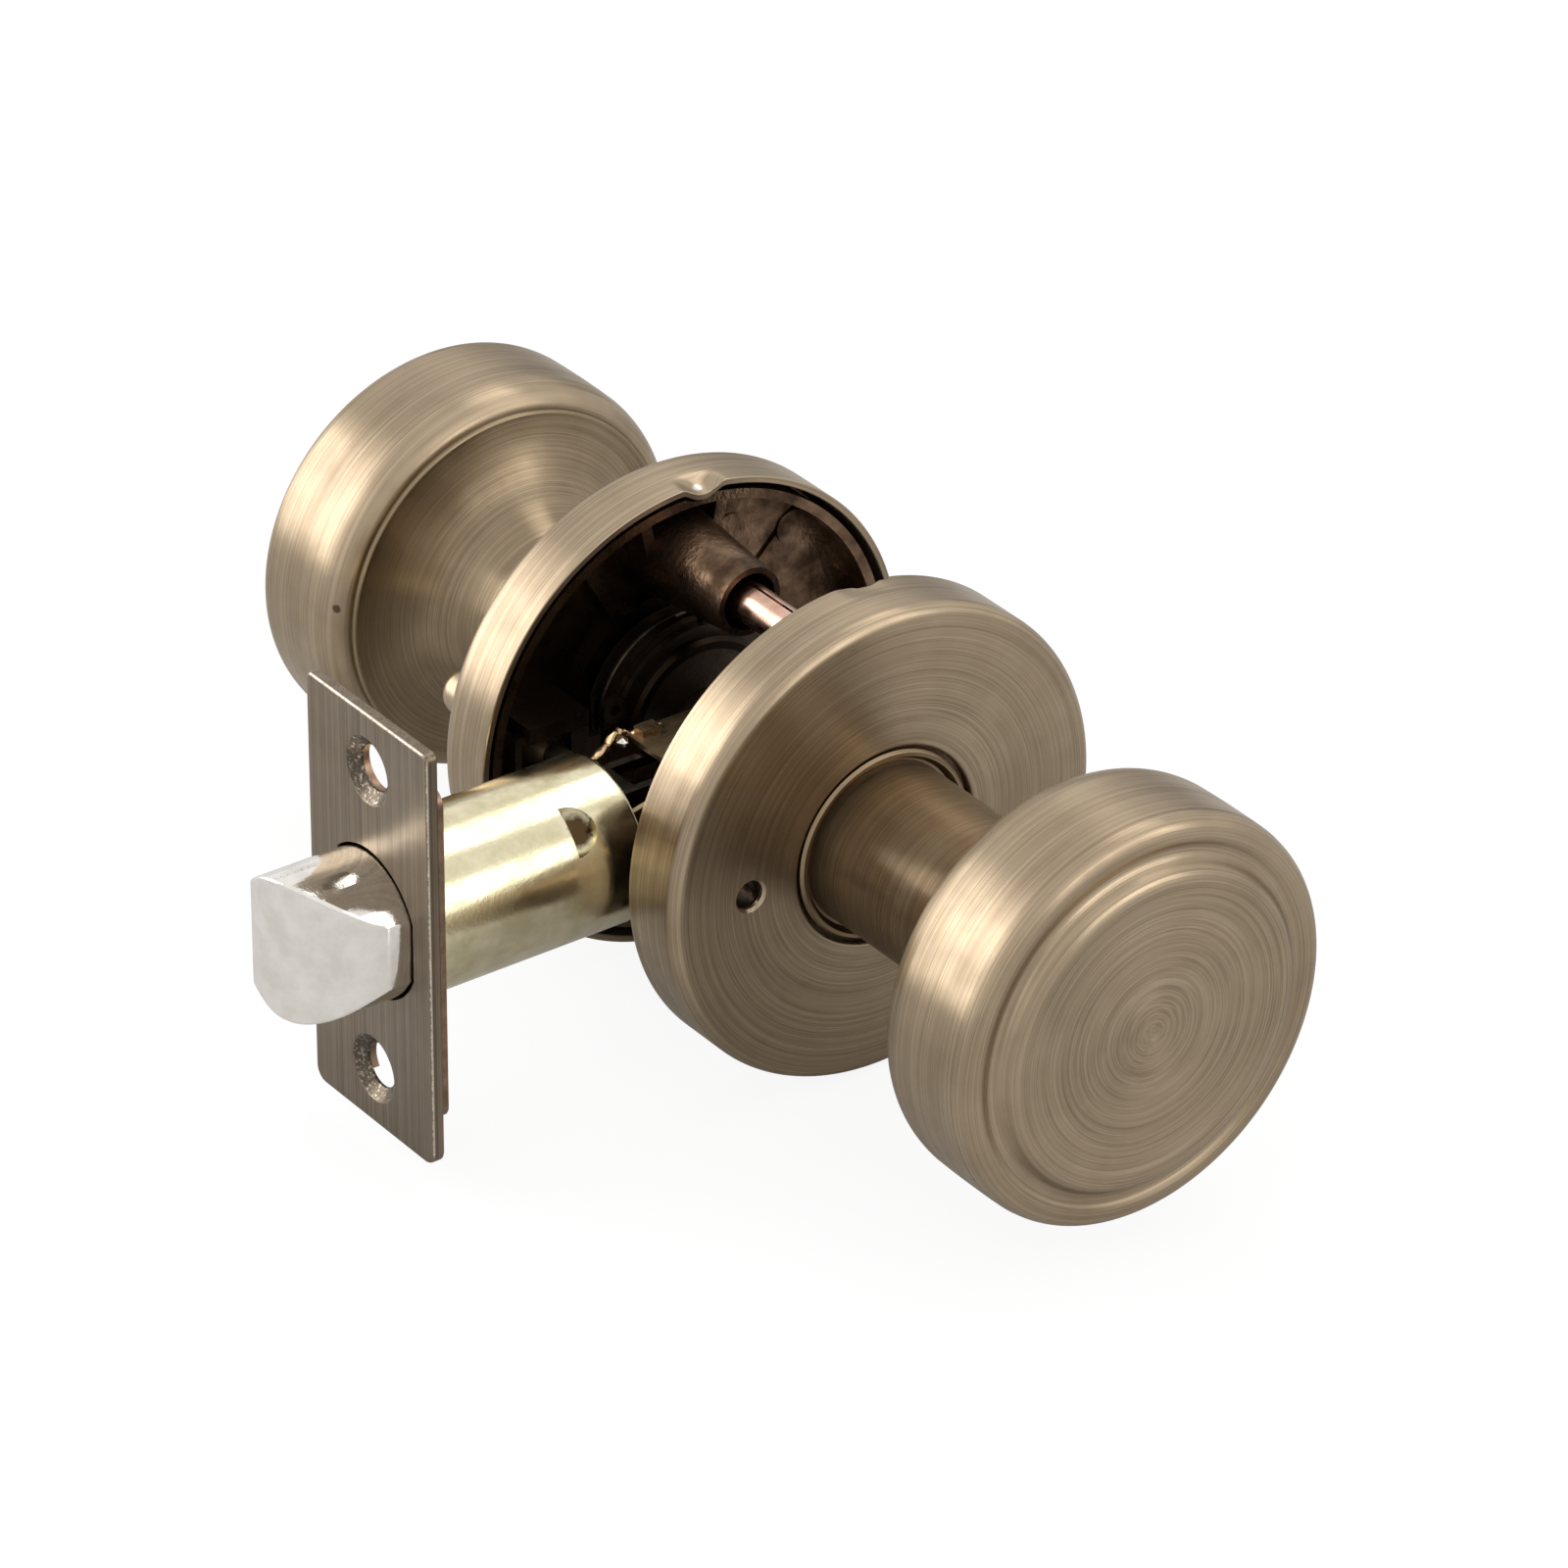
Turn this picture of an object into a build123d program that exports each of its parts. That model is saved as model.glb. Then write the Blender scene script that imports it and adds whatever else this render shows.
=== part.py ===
from build123d import *
import os
from math import cos, radians, sin

# Privacy door knob: two hollow knobs on round roses, a tubular spring latch between them,
# and a push button on the inside rose that locks the turning parts.
# Millimetres. The origin is where the spindle's axis crosses the latch's axis.
# +Y points to the inside of the room, -X towards the latch bolt's nose, +Z up.

# Fits and clearances
running_gap = 0.05
loose_gap = 0.3
seat_gap = 0.1
quarter_turn = 90.0
bolt_throw = 12.2

# The two halves: where each rose's rim meets the door, and how far the knob stands off it
outside_seat = -12.95
inside_seat = 17.7
outside_standoff = 46.5
inside_standoff = 44.5

# Knob
knob_radius = 26.9
knob_band = 11.0
knob_crown = 4.0
knob_wall = 1.3
face_radius = 20.6
face_dish = 0.5
cove_radius = 23.5
cove_depth = 0.8
shoulder_depth = 4.0
shoulder_ease = 0.75
shoulder_bulge = 2.0
crown_bulge = 1.5
lip_edge = 0.9
seam_radius = 24.0
seam_gap = 0.15
neck_share = 0.3433
neck_wall = 1.5
neck_edge = 0.5
neck_rim = 1.2
funnel_length = 15.5

# Rose
rose_radius = 31.75
rose_depth = 9.1
rose_wall = 0.9
rose_edge = 1.8
dent_ball = 4.0
dent_depth = 1.4
dent_angle = 87.0

# Bearing ring between the neck and the rose
ring_wall = 1.8
ring_reveal = 0.55
ring_recess = 0.9
ring_land = 0.8
ring_edge = 0.35

# Chassis behind each rose
chassis_gap = 0.95
chassis_wall = 1.3
chassis_rim = 0.6
chassis_floor = 1.5
hub_wall = 2.3
hub_height = 1.4
boss_inset = 1.2
boss_end_share = 0.1538
boss_base_share = 0.214
boss_bore_radius = 3.8
boss_reach = 11.7
stub_reach = -1.0
rib_width = 1.4
rib_height = 1.6
rib_angles = (0, 120, 240)
web_width = 1.6
web_height = 4.6
web_lean = 12.0
boss_angles = (90, 270)
groove_angle = 44.5
groove_width = 0.8
groove_depth = 0.5
ejector_radius = 2.3
ejector_height = 0.25
ejector_shares = ((0.34, 0.655), (0.66, 0.57), (-0.45, 0.685), (0.635, -0.585), (-0.52, -0.585))

# Mounting posts and screws
post_radius = 2.6
post_bore_radius = 1.98
post_seam = 0.4
post_collar_radius = 3.9
post_collar = 1.2
post_end = 11.7
screw_radius = 1.9
screw_hole_radius = 2.2
screw_head_radius = 3.4
screw_head = 2.3
screw_seat_depth = 3.1
screw_web = 2.0
screw_length = 22.7
screw_slot = 1.0
screw_recess = 1.2
screw_point = 0.5

# Return spring, driver plate and clip on each neck's end
coil_standoff = 1.3
coil_wire = 1.1
coil_pitch = 1.25
coil_turns = 1.5
coil_tail = 4.0
driver_rim = 2.7
driver_thick = 1.4
driver_flat_depth = 0.7
driver_notch = 3.4
driver_notch_wall = 0.9
clip_thick = 0.9
clip_rim = 1.5
clip_groove = 0.6
clip_mouth = 6.0
clip_ear = 1.7
clip_ear_hole = 0.75
neck_tail = 1.2

# Spindle and the carriers that hold it in the necks
spindle_radius = 3.9
spindle_wall = 1.4
spindle_flat = -1.2
carrier_length = 4.5
carrier_inset = 0.3
spindle_inset = 0.5

# Push button, its stem and the catch that it drives
button_inset = 9.7
button_radius = 3.1
button_reach = 13.4
button_travel = 3.5
button_crown = 1.9
stem_radius = 1.6
stem_end = 12.0
stem_point = 0.3
stem_room = 1.0
catch_thick = 1.2
catch_travel = 1.8
catch_half = 4.8
catch_wall = 1.0
tongue_half = 1.4
tongue_length = 1.7
catch_corner = 0.6
boss_stop = 0.1
guide_wall = 1.2
guide_lip = 1.0
guide_front_run = 3.7
guide_rear_run = 5.2
pin_hole_radius = 1.9
pin_hole_bevel = 0.35
poke_radius = 1.7

# Latch
backset = 60.325
plate_height = 57.15
plate_width = 25.4
plate_thick = 1.6
plate_corner = 2.0
plate_top_corner = 1.0
plate_edge = 0.25
plate_screw_spacing = 41.6
plate_hole_radius = 2.9
plate_sink_radius = 4.5
plate_sink_depth = 1.2
backing_height = 45.5
backing_width = 24.6
backing_thick = 1.0
backing_hole_radius = 3.2
tube_radius = 10.85
tube_wall = 1.0
tube_end = -27.0
tube_curl = 0.8
dimple_at = -36.5
dimple_ball = 4.0
dimple_depth = 2.2
dimple_angle = 135.0
bolt_nose = 12.7
bolt_radius = 9.6
bolt_tip_y = 2.6
bolt_bulge = 3.0
bolt_back_y = 6.4
bolt_flat_y = -8.8
bolt_shoulder = 1.3
bolt_body_end = -56.5
bolt_tail_end = -48.5
bolt_tail_half = 4.2
bolt_pin_at = -51.5
bolt_pin_radius = 1.5
case_top = 8.5
case_sheet = 0.7
case_front = -18.3
case_rear = 11.2
strap_half = 6.6
strap_bend = 1.2
cheek_y = 6.4
cheek_sheet = 0.7
cheek_front = -36.4
cheek_tongue_top = 4.0
cheek_tongue_low = -7.0
cheek_corner = 0.6
torn_height = 0.8
torn_front = -21.0
tab_width = 2.8
tab_fold = 2.0
tab_places = (-15.8, 6.9)
window_front = -8.0
window_rear = 9.7
window_half = 3.9
cam_barrel = 5.6
cam_length = 14.0
cam_hole_radius = 4.1
cam_hole_flat = -1.4
finger_pitch = 8.65
finger_half = 1.3
finger_thick = 3.2
yoke_y = 3.6
yoke_sheet = 1.2
yoke_slot = 5.9
yoke_half = 7.2
yoke_neck = 4.5
yoke_gap = 0.6
yoke_step = -30.0
yoke_slot_end = -23.5
yoke_rear = -2.8
yoke_bridge = 5.0
yoke_tab = 1.4
yoke_tab_low = 6.9
yoke_tab_top = 8.2
seat_front = -38.0
seat_thick = 1.2
seat_radius = 9.8
spring_radius = 6.7
spring_wire = 0.9
spring_turns = 6

# Values worked out from the ones above
rose_inner = rose_radius - rose_wall
chassis_radius = rose_inner - chassis_gap
neck_radius = neck_share * rose_radius
ring_radius = neck_radius + ring_wall
hub_radius = ring_radius + hub_wall
coil_radius = neck_radius + coil_standoff
driver_radius = neck_radius + driver_rim
driver_flat = neck_radius - driver_flat_depth
driver_notch_root = neck_radius + driver_notch_wall
clip_radius = neck_radius + clip_rim
boss_end_radius = boss_end_share * chassis_radius
boss_base_radius = boss_base_share * chassis_radius
button_offset = chassis_radius - button_inset
yoke_front = bolt_body_end + yoke_gap
guide_front = -button_offset + guide_front_run
guide_rear = -button_offset - guide_rear_run
ring_bore_radius = neck_radius + running_gap
rose_hole_radius = ring_radius + ring_reveal
floor_out = rose_depth - rose_wall - seat_gap
floor_in = floor_out - chassis_floor
hub_end = floor_in - hub_height
neck_bore = neck_radius - neck_wall
driver_back = 0.3
driver_face = driver_back + driver_thick
clip_back = driver_back - seat_gap - clip_thick
neck_end = clip_back - neck_tail
carrier_radius = neck_bore - running_gap
boss_z = chassis_radius - chassis_wall - boss_base_radius - boss_inset
boss_bore_end = floor_out - screw_seat_depth - screw_web
catch_top = driver_face - seat_gap
catch_low = catch_top - catch_thick
cone_radius = stem_radius + catch_travel
catch_tip = -driver_radius - loose_gap
catch_shoulder = catch_tip - tongue_length
catch_window_front = -button_offset + stem_radius + loose_gap
catch_window_rear = -button_offset - cone_radius - loose_gap - catch_travel
button_boss_end = catch_top + button_travel + loose_gap + boss_stop
plate_back = -backset + plate_thick
backing_back = plate_back + backing_thick
cheek_half = case_top - case_sheet
tube_bore = tube_radius - tube_wall


def flat_shape(edges):
    """Closed flat face from a chain of edges."""
    return make_face(edges)


def turned(edges):
    """Solid turned about the knob axis from an outline in radius and distance along it."""
    return revolve(flat_shape(edges), Axis.Y)


def rod_y(radius, start, end, x=0.0, z=0.0):
    """Round bar along Y between two distances."""
    lo = min(start, end)
    long = abs(end - start)
    return Pos(x, lo + long / 2, z) * Rot(90, 0, 0) * Cylinder(radius, long)


def rod_x(radius, start, end, y=0.0, z=0.0):
    """Round bar along X between two distances."""
    lo = min(start, end)
    long = abs(end - start)
    return Pos(lo + long / 2, y, z) * Rot(0, 90, 0) * Cylinder(radius, long)


def block(x, y, z):
    """Box given by its two limits along each axis."""
    size = [abs(b - a) for a, b in (x, y, z)]
    middle = [(a + b) / 2 for a, b in (x, y, z)]
    return Pos(*middle) * Box(*size)


def outside(solid):
    """A trim piece made outward from the door, set on the outside face."""
    return Pos(0, outside_seat, 0) * mirror(solid, about=Plane.XZ)


def inside(solid):
    """A trim piece made outward from the door, set on the inside face."""
    return Pos(0, inside_seat, 0) * solid


def dent(extra):
    """Ball that pushes a dent into the rose's rim; extra grows it by the wall."""
    reach = rose_radius + dent_ball - dent_depth
    angle = radians(dent_angle)
    return Pos(reach * cos(angle), 0, reach * sin(angle)) * Sphere(dent_ball + extra)


def knob_shell(standoff):
    """Drawn knob shell: dished face, cove, band and the lip that is spun over the neck's rim."""
    start = standoff
    end = standoff + knob_band
    crown = end + knob_crown
    lip = start - shoulder_depth
    inner_radius = knob_radius - knob_wall
    cove_out = (cove_radius + knob_wall - 0.1, crown - knob_wall + 0.1)
    cove_in = (cove_radius - knob_wall + 0.2, crown - cove_depth + 0.1)
    cove_floor = (cove_radius, cove_out[1] - cove_depth / 4)
    face_rim = (face_radius, crown)
    bead = (face_radius + knob_wall - 0.3, crown - cove_depth / 6)
    centre = (0, crown - face_dish)
    dish = (face_radius / 2, crown - 0.75 * face_dish)
    band_front = (knob_radius, end - shoulder_ease)
    band_middle = (knob_radius + running_gap, (start + end) / 2)
    band_rear = (knob_radius, start + shoulder_ease / 2)
    lip_top = (seam_radius + lip_edge, lip + lip_edge / 3)
    skin = (
        ThreePointArc(centre, dish, face_rim)
        + ThreePointArc(face_rim, bead, cove_in)
        + ThreePointArc(cove_in, cove_floor, cove_out)
        + ThreePointArc(cove_out, (knob_radius - shoulder_ease, end + crown_bulge), band_front)
        + ThreePointArc(band_front, band_middle, band_rear)
        + ThreePointArc(band_rear, (knob_radius - shoulder_ease, start - shoulder_bulge), lip_top)
        + Line(lip_top, (seam_radius, lip))
    )
    wall = Polyline(
        (seam_radius, lip),
        (seam_radius, lip + knob_wall),
        (inner_radius - shoulder_ease, lip + knob_wall),
        (inner_radius, start - shoulder_ease / 2),
        (inner_radius, end - shoulder_ease),
        (cove_radius, end + knob_wall),
        (face_radius, crown - 1.25 * knob_wall),
        (0, crown - face_dish - knob_wall),
        centre,
    )
    return turned(skin + wall)


def knob_neck(standoff):
    """Funnel and neck in one spinning, with its rim under the shell's lip and a clip groove."""
    lip = standoff - shoulder_depth
    collar = seam_radius - seam_gap
    rim = knob_radius - knob_wall - shoulder_ease - loose_gap
    rim_low = lip + knob_wall + running_gap
    rim_top = rim_low + neck_rim
    mouth = (collar - loose_gap, lip - loose_gap)
    throat = (neck_radius, lip - funnel_length)
    bore_mouth = (collar - shoulder_ease, lip + knob_wall)
    bore_throat = (neck_bore, throat[1] + neck_edge)
    outline = (
        Spline([mouth, throat], tangents=[(-1, -0.12), (0, -1)])
        + Line(throat, (neck_radius, neck_end + neck_edge))
        + Line((neck_radius, neck_end + neck_edge), (neck_radius - neck_edge, neck_end))
        + Line((neck_radius - neck_edge, neck_end), (neck_bore, neck_end))
        + Line((neck_bore, neck_end), bore_throat)
        + Spline([bore_throat, bore_mouth], tangents=[(0, 1), (1, 0.12)])
        + Line(bore_mouth, (bore_mouth[0], rim_top))
        + Line((bore_mouth[0], rim_top), (rim, rim_top))
        + Line((rim, rim_top), (rim, rim_low))
        + Line((rim, rim_low), (collar, rim_low))
        + Line((collar, rim_low), (collar, lip))
        + Line((collar, lip), mouth)
    )
    neck = turned(outline)
    groove = rod_y(neck_radius + 1, clip_back - running_gap, driver_back - running_gap) - rod_y(
        neck_radius - clip_groove, clip_back - 1, driver_back + 1
    )
    side = neck_radius + 1
    flats = block((driver_flat, side), (neck_end - 1, driver_face + seat_gap), (-side, side))
    return neck - groove - flats - mirror(flats, about=Plane.YZ)


def rose(hole_radius, bevel):
    """Drawn cup with a rolled face edge, a centre hole, one side hole and a staked dent in its rim."""
    outer = rod_y(rose_radius, 0, rose_depth)
    outer = fillet(outer.edges().group_by(Axis.Y)[-1], rose_edge)
    cavity = rod_y(rose_inner, -1, rose_depth - rose_wall)
    cavity = fillet(cavity.edges().group_by(Axis.Y)[-1], rose_edge - rose_wall)
    cup = (outer - dent(0)) - (cavity - dent(rose_wall))
    cup -= rod_y(rose_hole_radius, 0, rose_depth + 1)
    cup -= rod_y(hole_radius, 0, rose_depth + 1, x=-button_offset)
    sink = Pos(-button_offset, rose_depth, 0) * Rot(-90, 0, 0) * Cone(
        hole_radius + bevel, hole_radius, bevel * 2, align=(Align.CENTER, Align.CENTER, Align.CENTER)
    )
    return cup - mirror_in_place(sink)


def mirror_in_place(cone):
    """Turns a cone end for end about its own middle, so its wide end faces outward."""
    middle = cone.center()
    return Pos(middle) * Rot(180, 0, 0) * Pos(-middle.X, -middle.Y, -middle.Z) * cone


def bearing_ring():
    """Ring in which the neck turns: a flush chamfered land, with a recess round the neck."""
    top = rose_depth
    outline = Polyline(
        (ring_bore_radius, hub_end),
        (ring_radius, hub_end),
        (ring_radius, top - ring_edge),
        (ring_radius - ring_edge, top),
        (ring_radius - ring_land, top),
        (ring_bore_radius + ring_edge, top - ring_recess),
        (ring_bore_radius, top - ring_recess),
        close=True,
    )
    return turned(outline)


def boss(z, reach):
    """Tapered boss that reaches from the floor into the door."""
    height = floor_in + reach
    cone = Cone(boss_base_radius, boss_end_radius, height, align=(Align.CENTER, Align.CENTER, Align.MIN))
    return Pos(0, floor_in, z) * Rot(90, 0, 0) * cone


def chassis(reach):
    """Die-cast cup that the rose snaps over, with its floor, hub, ribs and two tapered bosses."""
    cup = rod_y(chassis_radius, chassis_rim, floor_out)
    cup -= rod_y(chassis_radius - chassis_wall, chassis_rim - 1, floor_in)
    body = cup + rod_y(hub_radius, hub_end, floor_out)
    rim = chassis_radius - chassis_wall / 2
    rib = block((hub_radius - 1, rim), (floor_in - rib_height, floor_in), (-rib_width / 2, rib_width / 2))
    for angle in rib_angles:
        body += Rot(0, -angle, 0) * rib
    web = block((boss_z, rim), (floor_in - web_height, floor_in), (-web_width / 2, web_width / 2))
    for middle in boss_angles:
        for lean in (web_lean, -web_lean):
            body += Rot(0, -middle + lean, 0) * web
    for z in (boss_z, -boss_z):
        body += boss(z, reach)
    for across, up in ejector_shares:
        place = {"x": across * chassis_radius, "z": up * chassis_radius}
        body += rod_y(ejector_radius, floor_in - ejector_height, floor_in, **place)
    groove = block(
        (hub_radius + rib_height, chassis_radius - chassis_wall),
        (floor_in, floor_in + groove_depth),
        (-groove_width / 2, groove_width / 2),
    )
    body -= Rot(0, -groove_angle, 0) * groove
    body -= Rot(0, groove_angle, 0) * groove
    body -= rod_y(ring_radius, hub_end - 1, floor_out + 1)
    angle = radians(dent_angle)
    middle = rose_radius - dent_depth + dent_ball
    relief = dent_ball + rose_wall + loose_gap
    return body - Pos(middle * cos(angle), 0, middle * sin(angle)) * Sphere(relief)


def outside_chassis():
    """Outside chassis: short stubs that the posts are staked in, and the release hole's sleeve."""
    body = chassis(stub_reach)
    for z in (boss_z, -boss_z):
        body -= rod_y(post_radius, stub_reach, floor_out + 1, z=z)
        body -= rod_y(post_collar_radius, floor_out - post_collar, floor_out + 1, z=z)
    body += rod_y(pin_hole_radius + rib_height, floor_in - rib_height, floor_out, x=-button_offset)
    return body - rod_y(poke_radius, 0, floor_out + 1, x=-button_offset)


def inside_chassis():
    """Inside chassis: long bored bosses for the screws, the button's guide and the catch's rails."""
    body = chassis(boss_reach)
    for z in (boss_z, -boss_z):
        body -= rod_y(boss_bore_radius, -boss_reach - 1, boss_bore_end, z=z)
        body -= rod_y(screw_hole_radius, 0, floor_out + 1, z=z)
        body -= rod_y(screw_head_radius + loose_gap, floor_out - screw_seat_depth, floor_out + 1, z=z)
    body += rod_y(button_radius + screw_web, button_boss_end, floor_out, x=-button_offset)
    body -= rod_y(button_radius + running_gap, 0, floor_out + 1, x=-button_offset)
    side = catch_half + loose_gap
    low = catch_low - loose_gap - guide_lip
    rail = block((guide_rear, guide_front), (low, floor_in), (side - guide_lip, side + guide_wall))
    rail -= block(
        (guide_rear - 1, guide_front + 1),
        (catch_low - loose_gap, catch_top + loose_gap),
        (0, side),
    )
    return body + rail + mirror(rail, about=Plane.XY)


def driver_plate():
    """Stamped plate keyed on the neck's flats, with four notches for the catch's tongue."""
    plate = rod_y(driver_radius, driver_back, driver_face)
    notch = block(
        (driver_notch_root, driver_radius + 1),
        (driver_back - 1, driver_face + 1),
        (-driver_notch / 2, driver_notch / 2),
    )
    for angle in (0, 90, 180, 270):
        plate -= Rot(0, angle, 0) * notch
    bore = rod_y(neck_radius + running_gap, driver_back - 1, driver_face + 1)
    across = driver_flat + running_gap
    bore &= block((-across, across), (driver_back - 1, driver_face + 1), (-neck_radius, neck_radius))
    return plate - bore


def coil(radius, wire, pitch, turns, tail):
    """Round wire wound along +Z from the origin, with a straight tail at each end."""
    path = Helix(pitch, pitch * turns, radius)
    start = Plane(path @ 0, z_dir=path % 0)
    wound = sweep(start * Circle(wire / 2), path=path, is_frenet=True)
    if tail:
        for end, heading in ((0, -1), (1, 1)):
            straight = Plane(path @ end, z_dir=(path % end) * heading)
            wound += straight * Pos(0, 0, tail / 2) * Cylinder(wire / 2, tail)
    return wound


def return_spring():
    """Torsion spring round the neck, between the driver plate and the hub."""
    wound = coil(coil_radius, coil_wire, coil_pitch, coil_turns, coil_tail)
    low = driver_face + (hub_end - driver_face - coil_pitch * coil_turns) / 2
    return Pos(0, low, 0) * Rot(-90, 0, 0) * wound


def neck_clip():
    """Open spring clip in the neck's groove, behind the driver plate."""
    top = clip_back + clip_thick
    ring = rod_y(clip_radius, clip_back, top)
    ear = rod_y(clip_ear, clip_back, top, x=-clip_radius, z=clip_mouth / 2 + clip_ear)
    ear -= rod_y(clip_ear_hole, clip_back - 1, top + 1, x=-clip_radius, z=clip_mouth / 2 + clip_ear)
    ring += ear + mirror(ear, about=Plane.XY)
    ring -= rod_y(neck_radius - clip_groove + running_gap, clip_back - 1, top + 1)
    return ring - block((-2 * clip_radius, 0), (clip_back - 1, top + 1), (-clip_mouth / 2, clip_mouth / 2))


def half_round(radius, flat):
    """Flat outline in X and Z of a circle cut by a straight side below."""
    return Circle(radius) & Pos(0, flat + radius) * Rectangle(4 * radius, 2 * radius)


def drawn_y(sketch, start, end):
    """Prism along Y from an outline drawn in X and Z."""
    lo = min(start, end)
    long = abs(end - start)
    turned_up = Rot(90, 0, 0) * extrude(sketch, long)
    return Pos(0, lo + long, 0) * turned_up


def carrier(gap):
    """Staked plug in the neck's end, with the half-round hole that holds the spindle."""
    low = neck_end + carrier_inset
    plug = rod_y(carrier_radius, low, low + carrier_length)
    section = half_round(spindle_radius + gap, spindle_flat - gap)
    hole = drawn_y(section, neck_end, neck_end + 2 * carrier_length)
    return plug - hole


def spindle():
    """Half-round spindle folded from one strip, from one knob's neck to the other's."""
    section = half_round(spindle_radius, spindle_flat)
    section -= Circle(spindle_radius - spindle_wall)
    reach = neck_end + carrier_inset + carrier_length - spindle_inset
    start = outside_seat - reach
    end = inside_seat + reach
    return drawn_y(section, start, end)


def mounting_post(z):
    """Rolled threaded post with an open seam, staked into the outside chassis."""
    back = outside_seat - floor_out
    post = rod_y(post_radius, back, post_end, z=z)
    post += rod_y(post_collar_radius, back, back + post_collar, z=z)
    post -= rod_y(post_bore_radius, back - 1, post_end + 1, z=z)
    seam = block(
        (-post_seam / 2, post_seam / 2),
        (back + 2 * post_collar, post_end + 1),
        (z, z + post_radius + 1),
    )
    return post - seam


def mounting_screw(z):
    """Machine screw with a domed cross head, from the inside chassis into the post."""
    top = inside_seat + floor_out - screw_seat_depth + screw_head
    under = top - screw_head
    head = rod_y(screw_head_radius, under, top, z=z)
    head = fillet(head.edges().group_by(Axis.Y)[-1], screw_head / 2)
    half = 2 * screw_recess
    slot = block((-half, half), (top - screw_recess, top + 1), (z - screw_slot / 2, z + screw_slot / 2))
    cross = Pos(0, 0, z) * Rot(0, 90, 0) * Pos(0, 0, -z) * slot
    shank = rod_y(screw_radius, under - screw_length, under, z=z)
    shank = chamfer(shank.edges().group_by(Axis.Y)[0], screw_point)
    return head + shank - slot - cross


def privacy_button():
    """Push button: a round-ended head, the cone that works the catch, and the pin behind it."""
    top = rose_depth + button_reach
    cone_end = catch_top + button_travel
    pin = stem_end - inside_seat
    outline = Polyline(
        (0, pin),
        (stem_radius - stem_point, pin),
        (stem_radius, pin + stem_point),
        (stem_radius, catch_top),
        (cone_radius, cone_end),
        (0, cone_end),
        close=True,
    )
    head = rod_y(button_radius, cone_end, top)
    head = fillet(head.edges().group_by(Axis.Y)[-1], button_crown)
    return Pos(-button_offset, inside_seat, 0) * (turned(outline) + head)


def lock_catch():
    """Sliding plate with a window round the button's cone and a tongue towards the driver plate."""
    low = inside_seat + catch_low
    top = inside_seat + catch_top
    rear = catch_window_rear - catch_wall
    plate = block((rear, catch_shoulder), (low, top), (-catch_half, catch_half))
    plate = chamfer(plate.edges().filter_by(Axis.Y), catch_corner)
    plate += block((catch_shoulder - 1, catch_tip), (low, top), (-tongue_half, tongue_half))
    window = block(
        (catch_window_rear, catch_window_front),
        (low - 1, top + 1),
        (-cone_radius - loose_gap, cone_radius + loose_gap),
    )
    return plate - window


def bolt_outline(extra):
    """Bolt's section in Y and Z: a circle with a flat on each side; extra grows it."""
    low = bolt_flat_y - extra
    high = bolt_back_y + extra
    side = 2 * (bolt_radius + extra)
    return Circle(bolt_radius + extra) & Pos((low + high) / 2, 0) * Rectangle(high - low, side)


def along_x(sketch, start, end):
    """Prism along X from an outline drawn in Y and Z."""
    lo = min(start, end)
    plane = Plane(origin=(lo, 0, 0), x_dir=(0, 1, 0), z_dir=(1, 0, 0))
    return extrude(plane * sketch, abs(end - start))


def latch_faceplate():
    """Faceplate with its bolt opening and two countersunk screw holes."""
    outline = Rectangle(plate_width, plate_height)
    outline = fillet(outline.vertices().group_by(Axis.Y)[-1], plate_top_corner)
    outline = fillet(outline.vertices().group_by(Axis.Y)[0], plate_corner)
    plate = along_x(outline, -backset, plate_back)
    plate = chamfer(plate.edges().group_by(Axis.X)[0], plate_edge)
    plate -= along_x(bolt_outline(loose_gap), -backset - 1, plate_back + 1)
    for z in (plate_screw_spacing / 2, -plate_screw_spacing / 2):
        plate -= rod_x(plate_hole_radius, -backset - 1, plate_back + 1, z=z)
        depth = plate_sink_depth
        sink = Cone(plate_sink_radius, plate_hole_radius, depth)
        plate -= Pos(-backset + depth / 2, 0, z) * Rot(0, 90, 0) * sink
    return plate


def latch_backing_plate():
    """Thin plate behind the faceplate, crimped round the tube's mouth."""
    outline = RectangleRounded(backing_width, backing_height, plate_corner)
    plate = along_x(outline, plate_back, backing_back)
    plate -= along_x(bolt_outline(loose_gap), plate_back - 1, backing_back + 1)
    for z in (plate_screw_spacing / 2, -plate_screw_spacing / 2):
        plate -= rod_x(backing_hole_radius, plate_back - 1, backing_back + 1, z=z)
    return plate


def dimple(extra):
    """Half ball that presses the lanced dimple into the tube; extra grows it by the wall."""
    reach = tube_radius + dimple_ball - dimple_depth
    angle = radians(dimple_angle)
    ball = Pos(dimple_at, reach * cos(angle), reach * sin(angle)) * Sphere(dimple_ball + extra)
    return ball & block((dimple_at, 0), (-reach, reach), (0, 2 * reach))


def latch_tube():
    """Rolled tube with a curled rear edge and the lanced dimple that holds the spring's seat."""
    outer = rod_x(tube_radius, backing_back, tube_end)
    outer = fillet(outer.edges().group_by(Axis.X)[-1], tube_curl)
    bore = rod_x(tube_bore, backing_back - 1, tube_end + 1)
    return (outer - dimple(0)) - (bore - dimple(tube_wall))


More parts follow.
